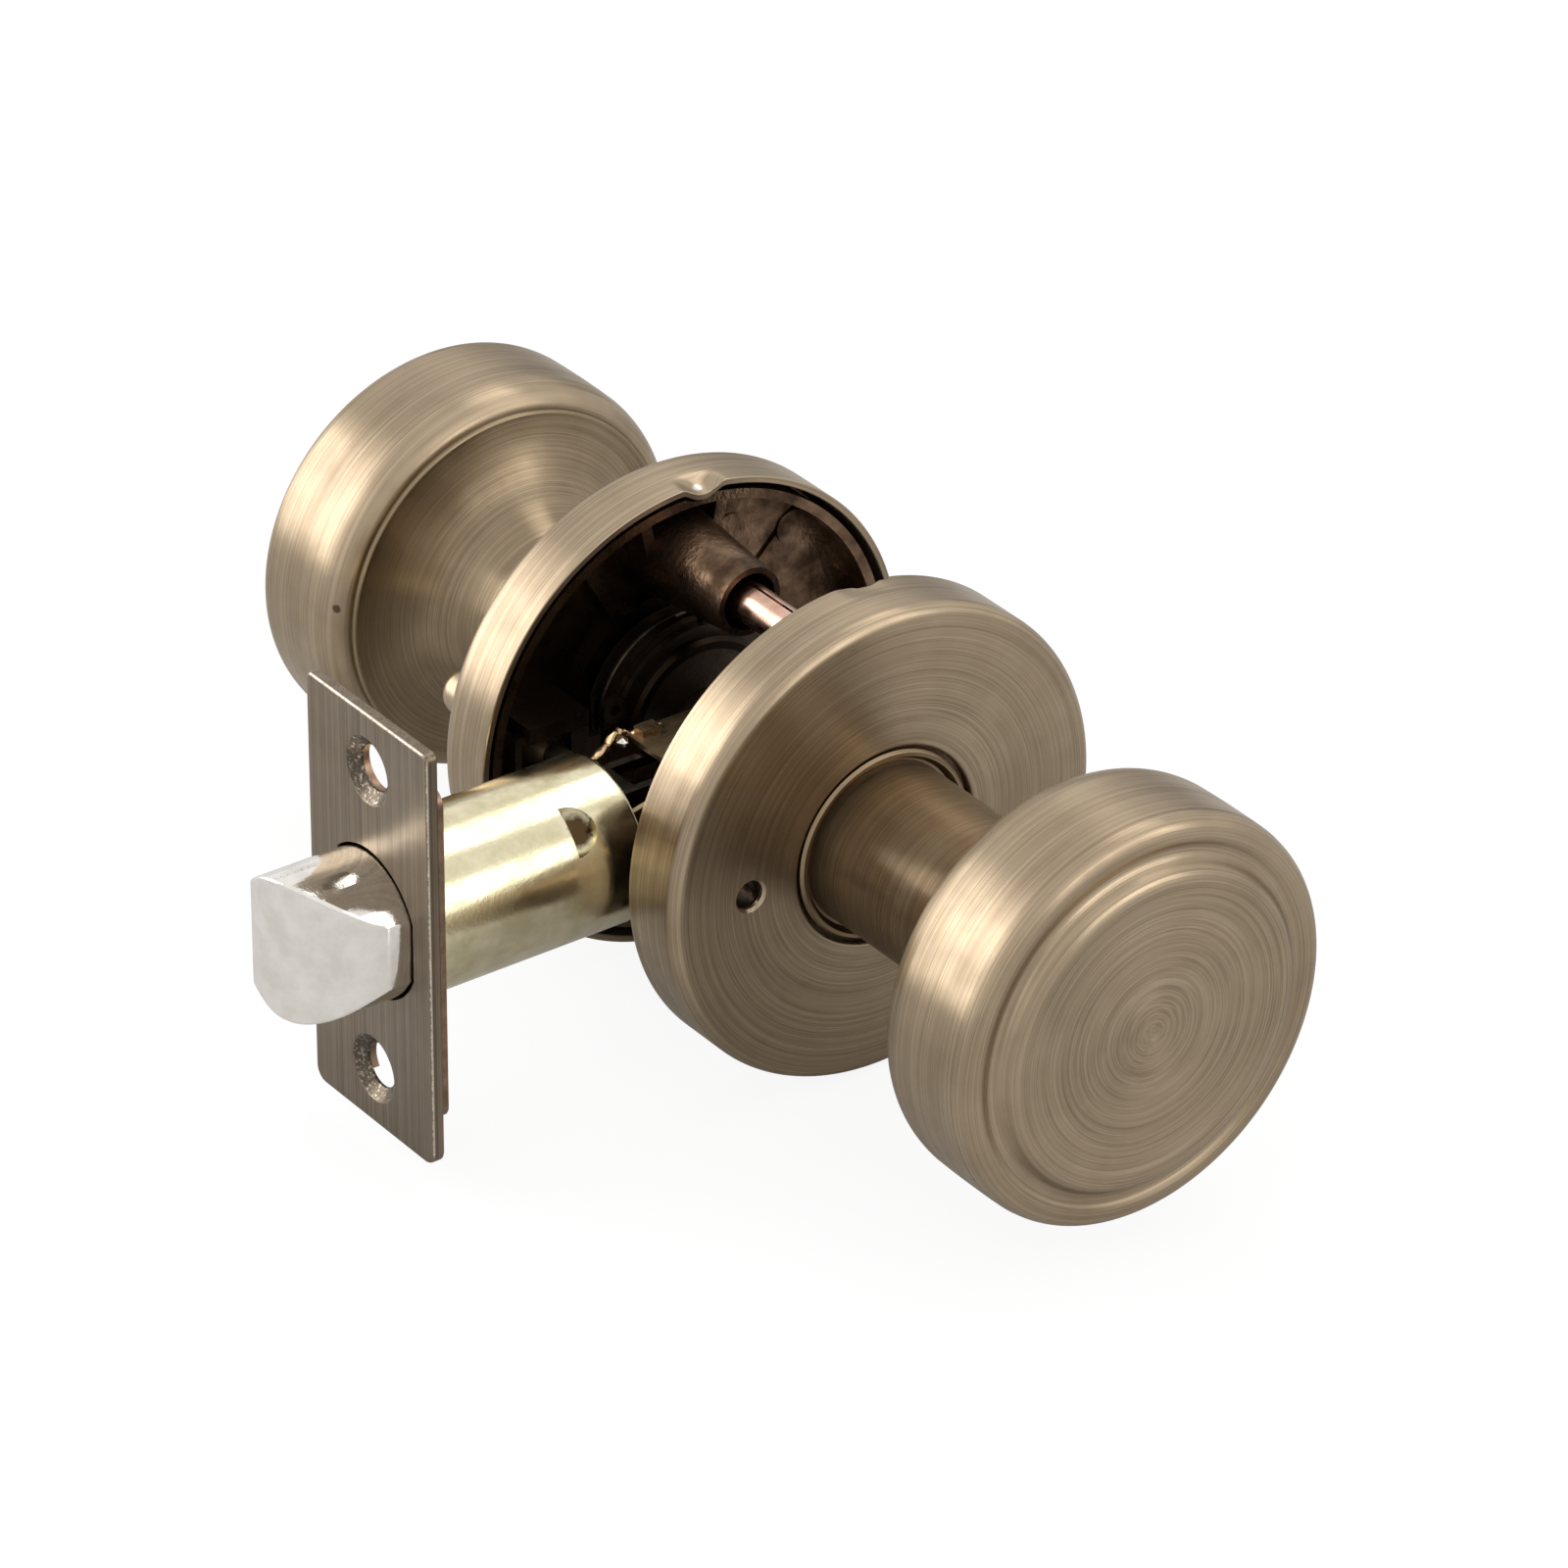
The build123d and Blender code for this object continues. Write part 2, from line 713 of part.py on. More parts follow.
def latch_bolt():
    """Spring latch bolt: round head with two flats and a slanted nose, and a tail for its pin."""
    nose = -backset - bolt_nose
    head = along_x(bolt_outline(0), nose, bolt_body_end)
    slope_end = -backset - bolt_shoulder
    tip = (nose, bolt_tip_y)
    root = (slope_end, bolt_flat_y)
    run = slope_end - nose
    rise = bolt_tip_y - bolt_flat_y
    chord = (run * run + rise * rise) ** 0.5
    middle = (
        (nose + slope_end) / 2 - bolt_bulge * rise / chord,
        (bolt_tip_y + bolt_flat_y) / 2 - bolt_bulge * run / chord,
    )
    far = nose - bolt_radius
    low = bolt_flat_y - bolt_radius
    away = [
        Line(root, (slope_end, low)),
        Line((slope_end, low), (far, low)),
        Line((far, low), (far, bolt_tip_y)),
        Line((far, bolt_tip_y), tip),
    ]
    head -= extrude(make_face([ThreePointArc(tip, middle, root)] + away), bolt_radius + 1, both=True)
    tail = block(
        (bolt_body_end - 1, bolt_tail_end),
        (-yoke_y + yoke_sheet + loose_gap, yoke_y - yoke_sheet - loose_gap),
        (-bolt_tail_half, bolt_tail_half),
    )
    return head + tail - rod_y(bolt_pin_radius, -yoke_y, yoke_y, x=bolt_pin_at)


def bolt_pin():
    """Pin that joins the bolt's tail to the yoke."""
    return rod_y(bolt_pin_radius, -yoke_y, yoke_y, x=bolt_pin_at)


def yoke():
    """Folded yoke: two forked side plates, the bridge between them and the tabs the cam pulls."""
    side = Polyline(
        (yoke_front, -yoke_neck),
        (yoke_step, -yoke_neck),
        (yoke_step + 1.5, -yoke_half),
        (yoke_rear, -yoke_half),
        (yoke_rear, -yoke_slot),
        (yoke_slot_end + 2, -yoke_slot),
        (yoke_slot_end, -yoke_slot + 2),
        (yoke_slot_end, yoke_slot - 2),
        (yoke_slot_end + 2, yoke_slot),
        (yoke_rear, yoke_slot),
        (yoke_rear, yoke_half),
        (yoke_step + 1.5, yoke_half),
        (yoke_step, yoke_neck),
        (yoke_front, yoke_neck),
        close=True,
    )
    plate = Rot(90, 0, 0) * extrude(make_face(side), yoke_y, both=True)
    inner = yoke_y - yoke_sheet
    plate -= block((yoke_front - 1, yoke_rear + 1), (-inner, inner), (-yoke_half - 1, yoke_half + 1))
    plate -= rod_y(bolt_pin_radius, -yoke_y - 1, yoke_y + 1, x=bolt_pin_at)
    bridge_start = yoke_step + 1.5
    plate += block(
        (bridge_start, bridge_start + yoke_bridge), (-yoke_y, yoke_y), (yoke_half - yoke_sheet, yoke_half)
    )
    tab = block((yoke_rear - yoke_tab, yoke_rear), (-yoke_y, yoke_y), (yoke_tab_low, yoke_tab_top))
    return plate + tab + mirror(tab, about=Plane.XY)


def cheek():
    """Case cheek: its tongue enters the tube, and two tabs are bent over the strap."""
    full = cheek_half
    rear = case_rear - case_sheet
    torn = case_front - 2 * cheek_corner
    side = Polyline(
        (cheek_front, cheek_tongue_low),
        (tube_end + cheek_corner, cheek_tongue_low),
        (tube_end + 2 * cheek_corner, -full),
        (rear - cheek_corner, -full),
        (rear, -full + cheek_corner),
        (rear, full - cheek_corner),
        (rear - cheek_corner, full),
        (case_front - loose_gap, full),
        (case_front - loose_gap, case_top),
        (torn, case_top + torn_height),
        (torn - cheek_corner, case_top + torn_height / 2),
        (torn_front, full - cheek_corner / 2),
        (tube_end + cheek_corner, full - 2 * torn_height),
        (tube_end - 2 * cheek_corner, cheek_tongue_top),
        (cheek_front, cheek_tongue_top),
        close=True,
    )
    sheet = extrude(make_face(side), cheek_sheet)
    plate = Pos(0, cheek_y, 0) * Rot(90, 0, 0) * sheet
    inner = cheek_y - cheek_sheet
    for x in tab_places:
        for z in (1, -1):
            width = (x - tab_width / 2, x + tab_width / 2)
            top = z * (case_top + cheek_sheet)
            upright = block(width, (inner, cheek_y), (z * (full - 1), top))
            fold = block(width, (cheek_y - tab_fold, cheek_y), (z * case_top, top))
            plate += upright + fold
    plate -= rod_y(cam_barrel + running_gap, 0, cheek_y + 1)
    return plate - rod_y(stem_radius + stem_room, 0, cheek_y + 1, x=-button_offset)


def case_strap():
    """Case strap in one fold: top, rear and bottom webs, with windows for the cam's fingers."""
    outer = block((case_front, case_rear), (-strap_half, strap_half), (-case_top, case_top))
    outer = fillet(outer.edges().filter_by(Axis.Y).group_by(Axis.X)[-1], strap_bend)
    hollow = block(
        (case_front - 1, case_rear - case_sheet), (-strap_half - 1, strap_half + 1), (-cheek_half, cheek_half)
    )
    hollow = fillet(hollow.edges().filter_by(Axis.Y).group_by(Axis.X)[-1], strap_bend - case_sheet)
    strap = outer - hollow
    strap -= block((window_front, window_rear), (-window_half, window_half), (-case_top - 1, case_top + 1))
    notch_inner = cheek_y - cheek_sheet - running_gap
    for x in tab_places:
        for y in (1, -1):
            strap -= block(
                (x - tab_width / 2 - running_gap, x + tab_width / 2 + running_gap),
                (y * notch_inner, y * (strap_half + 1)),
                (-case_top - 1, case_top + 1),
            )
    return strap


def latch_cam():
    """Cam: a barrel that turns in the cheeks, its half-round hole and two fingers."""
    barrel = rod_y(cam_barrel, -cam_length / 2, cam_length / 2)
    finger = block((-finger_half, finger_half), (-finger_thick / 2, finger_thick / 2), (0, finger_pitch))
    finger += rod_y(finger_half, -finger_thick / 2, finger_thick / 2, z=finger_pitch)
    barrel += Rot(0, -45, 0) * finger
    barrel += Rot(0, -135, 0) * finger
    hole = half_round(cam_hole_radius, cam_hole_flat)
    return barrel - drawn_y(hole, -cam_length, cam_length)


def spring_seat():
    """Washer behind the dimple that the latch spring pushes on, with the yoke's slot."""
    seat = rod_x(seat_radius, seat_front, seat_front + seat_thick)
    slot = block(
        (seat_front - 1, seat_front + seat_thick + 1),
        (-yoke_y - loose_gap, yoke_y + loose_gap),
        (-yoke_neck - loose_gap, yoke_neck + loose_gap),
    )
    return seat - slot


def latch_spring():
    """Compression spring between the bolt's head and its seat."""
    span = seat_front - bolt_body_end - spring_wire - 2 * running_gap
    wound = coil(spring_radius, spring_wire, span / spring_turns, spring_turns, 0)
    return Pos(bolt_body_end + spring_wire / 2 + running_gap, 0, 0) * Rot(0, 90, 0) * wound


parts = {
    "outside_knob_shell": outside(knob_shell(outside_standoff)),
    "outside_knob_neck": outside(knob_neck(outside_standoff)),
    "outside_rose": outside(rose(pin_hole_radius, pin_hole_bevel)),
    "outside_bearing_ring": outside(bearing_ring()),
    "outside_chassis": outside(outside_chassis()),
    "outside_return_spring": outside(return_spring()),
    "outside_driver_plate": outside(driver_plate()),
    "outside_neck_clip": outside(neck_clip()),
    "outside_carrier": outside(carrier(running_gap)),
    "inside_knob_shell": inside(knob_shell(inside_standoff)),
    "inside_knob_neck": inside(knob_neck(inside_standoff)),
    "inside_rose": inside(rose(button_radius + loose_gap, pin_hole_bevel)),
    "inside_bearing_ring": inside(bearing_ring()),
    "inside_chassis": inside(inside_chassis()),
    "inside_return_spring": inside(return_spring()),
    "inside_driver_plate": inside(driver_plate()),
    "inside_neck_clip": inside(neck_clip()),
    "inside_carrier": inside(carrier(2 * running_gap)),
    "mounting_post_top": mounting_post(boss_z),
    "mounting_post_bottom": mounting_post(-boss_z),
    "mounting_screw_top": mounting_screw(boss_z),
    "mounting_screw_bottom": mounting_screw(-boss_z),
    "spindle": spindle(),
    "privacy_button": privacy_button(),
    "lock_catch": lock_catch(),
    "latch_faceplate": latch_faceplate(),
    "latch_backing_plate": latch_backing_plate(),
    "latch_tube": latch_tube(),
    "latch_bolt": latch_bolt(),
    "bolt_pin": bolt_pin(),
    "latch_yoke": yoke(),
    "case_strap": case_strap(),
    "case_cheek_inside": cheek(),
    "case_cheek_outside": mirror(cheek(), about=Plane.XZ),
    "latch_cam": latch_cam(),
    "spring_seat": spring_seat(),
    "latch_spring": latch_spring(),
}

os.makedirs("parts", exist_ok=True)
for name, solid in parts.items():
    export_step(solid, "parts/" + name + ".step")
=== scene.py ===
"""Privacy door knob: finishes, fine surfaces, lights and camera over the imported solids."""

import logging
import math
from dataclasses import dataclass, field
from enum import Enum

import bmesh
import bpy
import numpy as np
from mathutils import Matrix, Vector

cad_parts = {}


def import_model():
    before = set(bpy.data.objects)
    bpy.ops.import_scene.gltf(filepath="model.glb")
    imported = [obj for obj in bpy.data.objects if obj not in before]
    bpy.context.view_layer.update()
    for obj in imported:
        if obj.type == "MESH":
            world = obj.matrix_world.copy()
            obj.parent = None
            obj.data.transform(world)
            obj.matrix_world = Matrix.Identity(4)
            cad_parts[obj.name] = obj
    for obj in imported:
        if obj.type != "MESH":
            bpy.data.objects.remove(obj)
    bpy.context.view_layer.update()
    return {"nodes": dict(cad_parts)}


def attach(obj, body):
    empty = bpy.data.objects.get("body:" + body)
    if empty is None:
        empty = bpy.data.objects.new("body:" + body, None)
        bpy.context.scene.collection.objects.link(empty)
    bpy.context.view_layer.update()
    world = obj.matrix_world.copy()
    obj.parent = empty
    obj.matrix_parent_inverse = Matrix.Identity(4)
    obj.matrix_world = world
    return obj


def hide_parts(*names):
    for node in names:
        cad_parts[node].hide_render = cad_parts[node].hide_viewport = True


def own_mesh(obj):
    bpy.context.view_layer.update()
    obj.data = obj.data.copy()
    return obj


log = logging.getLogger("privacy_knob")
MM = 0.001


class Side(Enum):
    """The two halves of the set, named as their nodes are."""

    OUTSIDE = "outside"
    INSIDE = "inside"


class Grain(Enum):
    """How a metal was brushed or formed."""

    ROUND = "round"
    LENGTHWISE = "lengthwise"
    NONE = "none"


class Mask(Enum):
    """Where a finish is worn, or darkened as painted shade."""

    NONE = "none"
    PLATE = "worn edges and rough screw holes"
    # Painted shade, darkest over the casting's middle and the latch's side.
    GREASE = "painted shade over the middle"
    # Painted shade on the part of a neck that is inside its rose.
    TUCKED = "dark where it is tucked into the rose"


# Sizes in millimetres, shared by the pieces


@dataclass(frozen=True)
class HalfSizes:
    """Where one half sits on the door and how far its knob stands off.

    Attributes:
        seat: Y of the rose's rim.
        outward: which way is outward, 1 or -1 along Y.
        standoff: from the rim to the knob shell's middle.
    """

    seat: float
    outward: float
    standoff: float

    def y(self, u: np.ndarray) -> np.ndarray:
        """Turns a distance outward from the door into Y."""
        return self.seat + self.outward * u


HALVES = {
    Side.OUTSIDE: HalfSizes(seat=-12.95, outward=-1.0, standoff=46.5),
    Side.INSIDE: HalfSizes(seat=17.7, outward=1.0, standoff=44.5),
}


# Mesh makers


def arc(centre: tuple, radius: float, start: float, end: float, count: int = 12) -> np.ndarray:
    """Points on an arc, from one angle to another.

    Formula: centre + radius * (cos a, sin a), with a running evenly from start to end.

    Args:
        centre: middle of the arc.
        radius: its radius.
        start: first angle in degrees.
        end: last angle in degrees.
        count: number of points.

    Returns:
        Array of points, one row each.
    """
    a = np.radians(np.linspace(start, end, count))
    return np.stack([centre[0] + radius * np.cos(a), centre[1] + radius * np.sin(a)], -1)


def bezier(points: list, count: int = 24) -> np.ndarray:
    """Cubic Bezier curve: the four control points weighted by the Bernstein polynomials.

    Args:
        points: the four control points.
        count: number of points on the curve.

    Returns:
        Array of points, one row each.
    """
    t = np.linspace(0, 1, count)[:, None]
    p = np.asarray(points, float)
    return (1 - t) ** 3 * p[0] + 3 * (1 - t) ** 2 * t * p[1] + 3 * (1 - t) * t**2 * p[2] + t**3 * p[3]


def divided(profile: np.ndarray, step: float) -> np.ndarray:
    """Adds points evenly along a profile's runs, so that no run is longer than the step.

    Args:
        profile: the profile's corners.
        step: longest run wanted.

    Returns:
        The profile with its added points.
    """
    runs = []
    for a, b in zip(profile[:-1], profile[1:]):
        count = max(1, int(np.ceil(np.linalg.norm(b - a) / step)))
        runs.append(a + (b - a) * np.linspace(0, 1, count, endpoint=False)[:, None])
    return np.vstack(runs + [profile[-1:]])


def grid_mesh(name: str, points: np.ndarray, uv: np.ndarray, sharp: float = 35.0) -> bpy.types.Mesh:
    """Puts a grid of points into a mesh of quads, merges its seams and poles, and turns it outward.

    Args:
        name: the mesh's name.
        points: positions in millimetres, rows by columns by 3.
        uv: grain coordinates, rows by columns by 2.
        sharp: edges bent by more than this many degrees stay crisp.

    Returns:
        The finished mesh, in metres.
    """
    rows, cols = points.shape[:2]
    index = np.arange(rows * cols).reshape(rows, cols)
    quads = np.stack([index[:-1, :-1], index[1:, :-1], index[1:, 1:], index[:-1, 1:]], -1).reshape(-1, 4)
    mesh = bpy.data.meshes.new(name)
    mesh.from_pydata((points.reshape(-1, 3) * MM).tolist(), [], quads.tolist())
    layer = mesh.uv_layers.new(name="Grain")
    layer.data.foreach_set("uv", uv.reshape(-1, 2)[quads.ravel()].ravel().astype(np.float32))
    work = bmesh.new()
    work.from_mesh(mesh)
    bmesh.ops.remove_doubles(work, verts=work.verts, dist=2e-6)
    bmesh.ops.dissolve_degenerate(work, edges=work.edges, dist=1e-7)
    bmesh.ops.recalc_face_normals(work, faces=work.faces)
    work.to_mesh(mesh)
    work.free()
    finish_shading(mesh, sharp)
    return mesh


def finish_shading(mesh: bpy.types.Mesh, sharp: float) -> None:
    """Smooth faces with crisp edges where the surface bends sharply.

    Args:
        mesh: the mesh to shade.
        sharp: the angle in degrees.
    """
    mesh.polygons.foreach_set("use_smooth", np.ones(len(mesh.polygons), bool))
    mesh.set_sharp_from_angle(angle=math.radians(sharp))
    mesh.update()


def turned(profile: np.ndarray, half: HalfSizes, columns: int = 256) -> tuple:
    """Surface turned about the knob's axis.

    Formula: x = r cos a, y = seat + outward * u, z = r sin a, for each profile point (r, u).

    Args:
        profile: radius and distance outward, one row a point.
        half: the half it belongs to.
        columns: number of steps round.

    Returns:
        The grid of points and the grid of grain coordinates.
    """
    a = np.linspace(0, 2 * np.pi, columns + 1)
    r, u = profile[:, :1], profile[:, 1:]
    x, z = r * np.cos(a), r * np.sin(a)
    y = np.broadcast_to(half.y(u), x.shape)
    along = np.concatenate([[0], np.cumsum(np.linalg.norm(np.diff(profile, axis=0), axis=1))])
    uv = np.stack(np.broadcast_arrays(a / (2 * np.pi), along[:, None] / 50.0), -1)
    return np.stack([x, y, z], -1), uv


def add_piece(
    name: str, mesh: bpy.types.Mesh, body: str, nodes: list, finish: bpy.types.Material
) -> bpy.types.Object:
    """Links a piece, gives it its finish and lets it ride and stand for its nodes.

    Args:
        name: the piece's name.
        mesh: its mesh.
        body: the body it rides on.
        nodes: the CAD nodes that it stands for.
        finish: its material.

    Returns:
        The new object.
    """
    piece = bpy.data.objects.new(name, mesh)
    bpy.context.scene.collection.objects.link(piece)
    mesh.materials.clear()
    mesh.materials.append(finish)
    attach(piece, body)
    if nodes:
        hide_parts(*nodes)
    log.info("piece %s rides on %s", name, body)
    return piece


def cut(piece: bpy.types.Object, cutter: bpy.types.Mesh, sharp: float = 35.0) -> None:
    """Cuts a piece with another mesh and keeps the result as its mesh.

    Args:
        piece: the object that is cut.
        cutter: the mesh that is taken away.
        sharp: edge angle that stays crisp.
    """
    tool = bpy.data.objects.new("cutter", cutter)
    bpy.context.scene.collection.objects.link(tool)
    step = piece.modifiers.new("cut", "BOOLEAN")
    step.operation, step.solver, step.object = "DIFFERENCE", "EXACT", tool
    graph = bpy.context.evaluated_depsgraph_get()
    result = bpy.data.meshes.new_from_object(piece.evaluated_get(graph), depsgraph=graph)
    piece.modifiers.remove(step)
    piece.data = result
    bpy.data.objects.remove(tool)
    finish_shading(result, sharp)


def rod_mesh(
    name: str, radius: float, start: float, end: float, x: float, z: float, flare: float = 0.0
) -> bpy.types.Mesh:
    """Closed bar along Y, wider at its end by the flare.

    Args:
        name: the mesh's name.
        radius: radius in millimetres.
        start: where it starts along Y.
        end: where it ends along Y.
        x: its axis in X.
        z: its axis in Z.
        flare: how much wider its end is.

    Returns:
        The mesh.
    """
    profile = np.array([[0, start], [radius, start], [radius + flare, end], [0, end]])
    a = np.linspace(0, 2 * np.pi, 49)
    r, y = profile[:, :1], profile[:, 1:]
    points = np.stack(np.broadcast_arrays(x + r * np.cos(a), y + 0 * a, z + r * np.sin(a)), -1)
    return grid_mesh(name, points, points[..., :2] * 0.0)


# Finishes


class NodeBench:
    """Small helper that places and links shader nodes in one tree."""

    def __init__(self, tree: bpy.types.NodeTree) -> None:
        """Keeps the tree.

        Args:
            tree: the node tree to work in.
        """
        self.tree = tree
        self.nodes = tree.nodes
        self.count = 0

    def add(self, kind: str, **values) -> bpy.types.Node:
        """Adds a node, sets its attributes, and sets or links its inputs by name or number.

        Args:
            kind: the node's type.
            values: attributes, and inputs given as in_NAME with underscores for spaces.

        Returns:
            The new node.
        """
        node = self.nodes.new(kind)
        node.location = (180 * (self.count % 12), -260 * (self.count // 12))
        self.count += 1
        for key, value in values.items():
            if key.startswith("in_"):
                name = key[3:]
                socket = node.inputs[int(name)] if name.isdigit() else node.inputs[name.replace("_", " ")]
                self.feed(socket, value)
            else:
                setattr(node, key, value)
        return node

    def feed(self, socket: bpy.types.NodeSocket, value: object) -> None:
        """Links a socket to another's output, or sets its value.

        Args:
            socket: the input.
            value: an output socket or a plain value.
        """
        if isinstance(value, bpy.types.NodeSocket):
            self.tree.links.new(value, socket)
        else:
            socket.default_value = value

    def math(self, operation: str, *values: object) -> bpy.types.NodeSocket:
        """Math node with the given inputs.

        Args:
            operation: the node's operation.
            values: its inputs.

        Returns:
            Its output socket.
        """
        node = self.add("ShaderNodeMath", operation=operation)
        for socket, value in zip(node.inputs, values):
            self.feed(socket, value)
        return node.outputs[0]

    def mix(self, factor: object, a: object, b: object, blend: str = "MIX") -> bpy.types.NodeSocket:
        """Mixes two colours.

        Args:
            factor: how much of the second one.
            a: first colour.
            b: second colour.
            blend: the blend type.

        Returns:
            The mixed colour's socket.
        """
        node = self.add("ShaderNodeMix", data_type="RGBA", blend_type=blend)
        self.feed(node.inputs[0], factor)
        self.feed(node.inputs[6], a)
        self.feed(node.inputs[7], b)
        return node.outputs[2]

    def ramp(
        self, value: object, low: object, high: object, to_low: float = 0.0, to_high: float = 1.0
    ) -> bpy.types.NodeSocket:
        """Clamped linear map from one range to another.

        Args:
            value: the value mapped.
            low: start of its range.
            high: end of its range.
            to_low: result at the start.
            to_high: result at the end.

        Returns:
            The mapped value's socket.
        """
        limits = {"in_From_Min": low, "in_From_Max": high, "in_To_Min": to_low, "in_To_Max": to_high}
        return self.add("ShaderNodeMapRange", clamp=True, in_Value=value, **limits).outputs["Result"]

    def point(self) -> tuple:
        """Where the shaded point is on its object.

        Returns:
            The place in metres, then its X, Y and Z in millimetres.
        """
        where = self.add("ShaderNodeTexCoord").outputs["Object"]
        split = self.add("ShaderNodeSeparateXYZ", in_0=where)
        return where, *(self.math("MULTIPLY", part, 1 / MM) for part in split.outputs)

    def distance(self, *parts: bpy.types.NodeSocket) -> bpy.types.NodeSocket:
        """Square root of the sum of the parts' squares.

        Args:
            parts: the distances along each axis.

        Returns:
            The distance's socket.
        """
        squares = [self.math("MULTIPLY", part, part) for part in parts]
        total = squares[0]
        for square in squares[1:]:
            total = self.math("ADD", total, square)
        return self.math("SQRT", total)

    def noise(
        self, where: bpy.types.NodeSocket, scale: object, detail: float, rough: float = 0.5
    ) -> bpy.types.NodeSocket:
        """Noise read at a place.

        Args:
            where: the place.
            scale: how many cells there are in one unit.
            detail: how many finer sets are added.
            rough: how strong they are.

        Returns:
            The noise's socket.
        """
        values = {"in_Vector": where, "in_Scale": scale, "in_Detail": detail, "in_Roughness": rough}
        return self.add("ShaderNodeTexNoise", **values).outputs[0]

    def ragged(
        self, value: object, amount: float, where: bpy.types.NodeSocket, scale: float, detail: float
    ) -> bpy.types.NodeSocket:
        """Value moved up and down by noise, to make a mask's rim ragged.

        Args:
            value: the value.
            amount: the whole range of its moves.
            where: where the noise is read.
            scale: the noise's scale.
            detail: the noise's detail.

        Returns:
            The moved value's socket.
        """
        shake = self.math("SUBTRACT", self.noise(where, scale, detail), 0.5)
        return self.math("ADD", value, self.math("MULTIPLY", shake, amount))

    def weighted(self, layers: list, weights: tuple) -> bpy.types.NodeSocket:
        """Sum of layers, each times its weight.

        Args:
            layers: the layers' sockets.
            weights: their weights.

        Returns:
            The sum's socket.
        """
        total = 0.0
        for layer, weight in zip(layers, weights):
            total = self.math("ADD", total, self.math("MULTIPLY", layer, weight))
        return total


def new_group(name: str, inputs: dict, outputs: tuple) -> tuple:
    """Makes an empty shader node group with its sockets.

    Args:
        name: the group's name.
        inputs: socket name to default value.
        outputs: socket names.

    Returns:
        The group, a bench in it, its inputs' sockets and its output node.
    """
    group = bpy.data.node_groups.new(name, "ShaderNodeTree")
    for label, default in inputs.items():
        socket = group.interface.new_socket(label, in_out="INPUT", socket_type="NodeSocketFloat")
        socket.default_value = default
    for label in outputs:
        group.interface.new_socket(label, in_out="OUTPUT", socket_type="NodeSocketFloat")
    bench = NodeBench(group)
    return group, bench, bench.add("NodeGroupInput").outputs, bench.add("NodeGroupOutput")


def round_brushing() -> bpy.types.NodeTree:
    """Brush lines that run round the knob's axis.

    The noise is read at (radius + lead * y, reach * cos a, reach * sin a), so it is stretched
    into arcs; a fine, a middle and a coarse set are added.

    Returns:
        The group, which puts out Streak and Scratch.
    """
    inputs = {"Lead": -1.0, "Fine": 6.0, "Reach": 0.75}
    group, b, given, out = new_group("round brushing", inputs, ("Streak", "Scratch"))
    _, x, y, z = b.point()
    radius = b.distance(x, z)
    safe = b.math("MAXIMUM", radius, 0.2)
    level = b.math("ADD", radius, b.math("MULTIPLY", y, given["Lead"]))
    round_x = b.math("MULTIPLY", b.math("DIVIDE", x, safe), given["Reach"])
    round_z = b.math("MULTIPLY", b.math("DIVIDE", z, safe), given["Reach"])
    layers = []
    for scale, offset in ((1.0, 0.0), (0.4, 17.3), (0.1, 41.7)):
        across = b.math("MULTIPLY", level, b.math("MULTIPLY", given["Fine"], scale))
        spot = b.add("ShaderNodeCombineXYZ", in_0=across, in_1=b.math("ADD", round_x, offset), in_2=round_z)
        layers.append(b.noise(spot.outputs[0], 1.0, 2.0, 0.6))
    b.feed(out.inputs["Streak"], b.ramp(b.weighted(layers, (0.62, 0.29, 0.09)), 0.39, 0.61))
    b.feed(out.inputs["Scratch"], b.ramp(layers[0], 0.62, 0.74))
    return group


def length_brushing() -> bpy.types.NodeTree:
    """Brush lines that run up and down the faceplate: noise stretched along Z.

    Returns:
        The group, which puts out Streak and Scratch.
    """
    group, b, given, out = new_group("length brushing", {"Fine": 3.2, "Reach": 0.006}, ("Streak", "Scratch"))
    _, x, y, z = b.point()
    along = b.math("MULTIPLY", z, given["Reach"])
    layers = []
    for scale, offset in ((1.0, 0.0), (0.25, 9.1)):
        fine = b.math("MULTIPLY", given["Fine"], scale)
        deep = b.math("ADD", b.math("MULTIPLY", x, fine), offset)
        spot = b.add("ShaderNodeCombineXYZ", in_0=b.math("MULTIPLY", y, fine), in_1=deep, in_2=along)
        layers.append(b.noise(spot.outputs[0], 1.0, 2.0, 0.55))
    b.feed(out.inputs["Streak"], b.ramp(b.weighted(layers, (0.6, 0.4)), 0.40, 0.60))
    b.feed(out.inputs["Scratch"], b.ramp(layers[0], 0.62, 0.72))
    return group


def blotches() -> bpy.types.NodeTree:
    """Cloudy variation over a surface, in millimetres, from two sizes of noise.

    Returns:
        The group, which puts out Cloud and Speck.
    """
    group, b, given, out = new_group("blotches", {"Size": 6.0, "Speck size": 0.6}, ("Cloud", "Speck"))
    where = b.add("ShaderNodeTexCoord").outputs["Object"]
    cloud = b.noise(where, b.math("DIVIDE", 1 / MM, given["Size"]), 3.0, 0.6)
    speck = b.noise(where, b.math("DIVIDE", 1 / MM, given["Speck size"]), 2.0, 0.6)
    b.feed(out.inputs["Cloud"], b.ramp(cloud, 0.35, 0.65))
    b.feed(out.inputs["Speck"], b.ramp(speck, 0.4, 0.7))
    return group


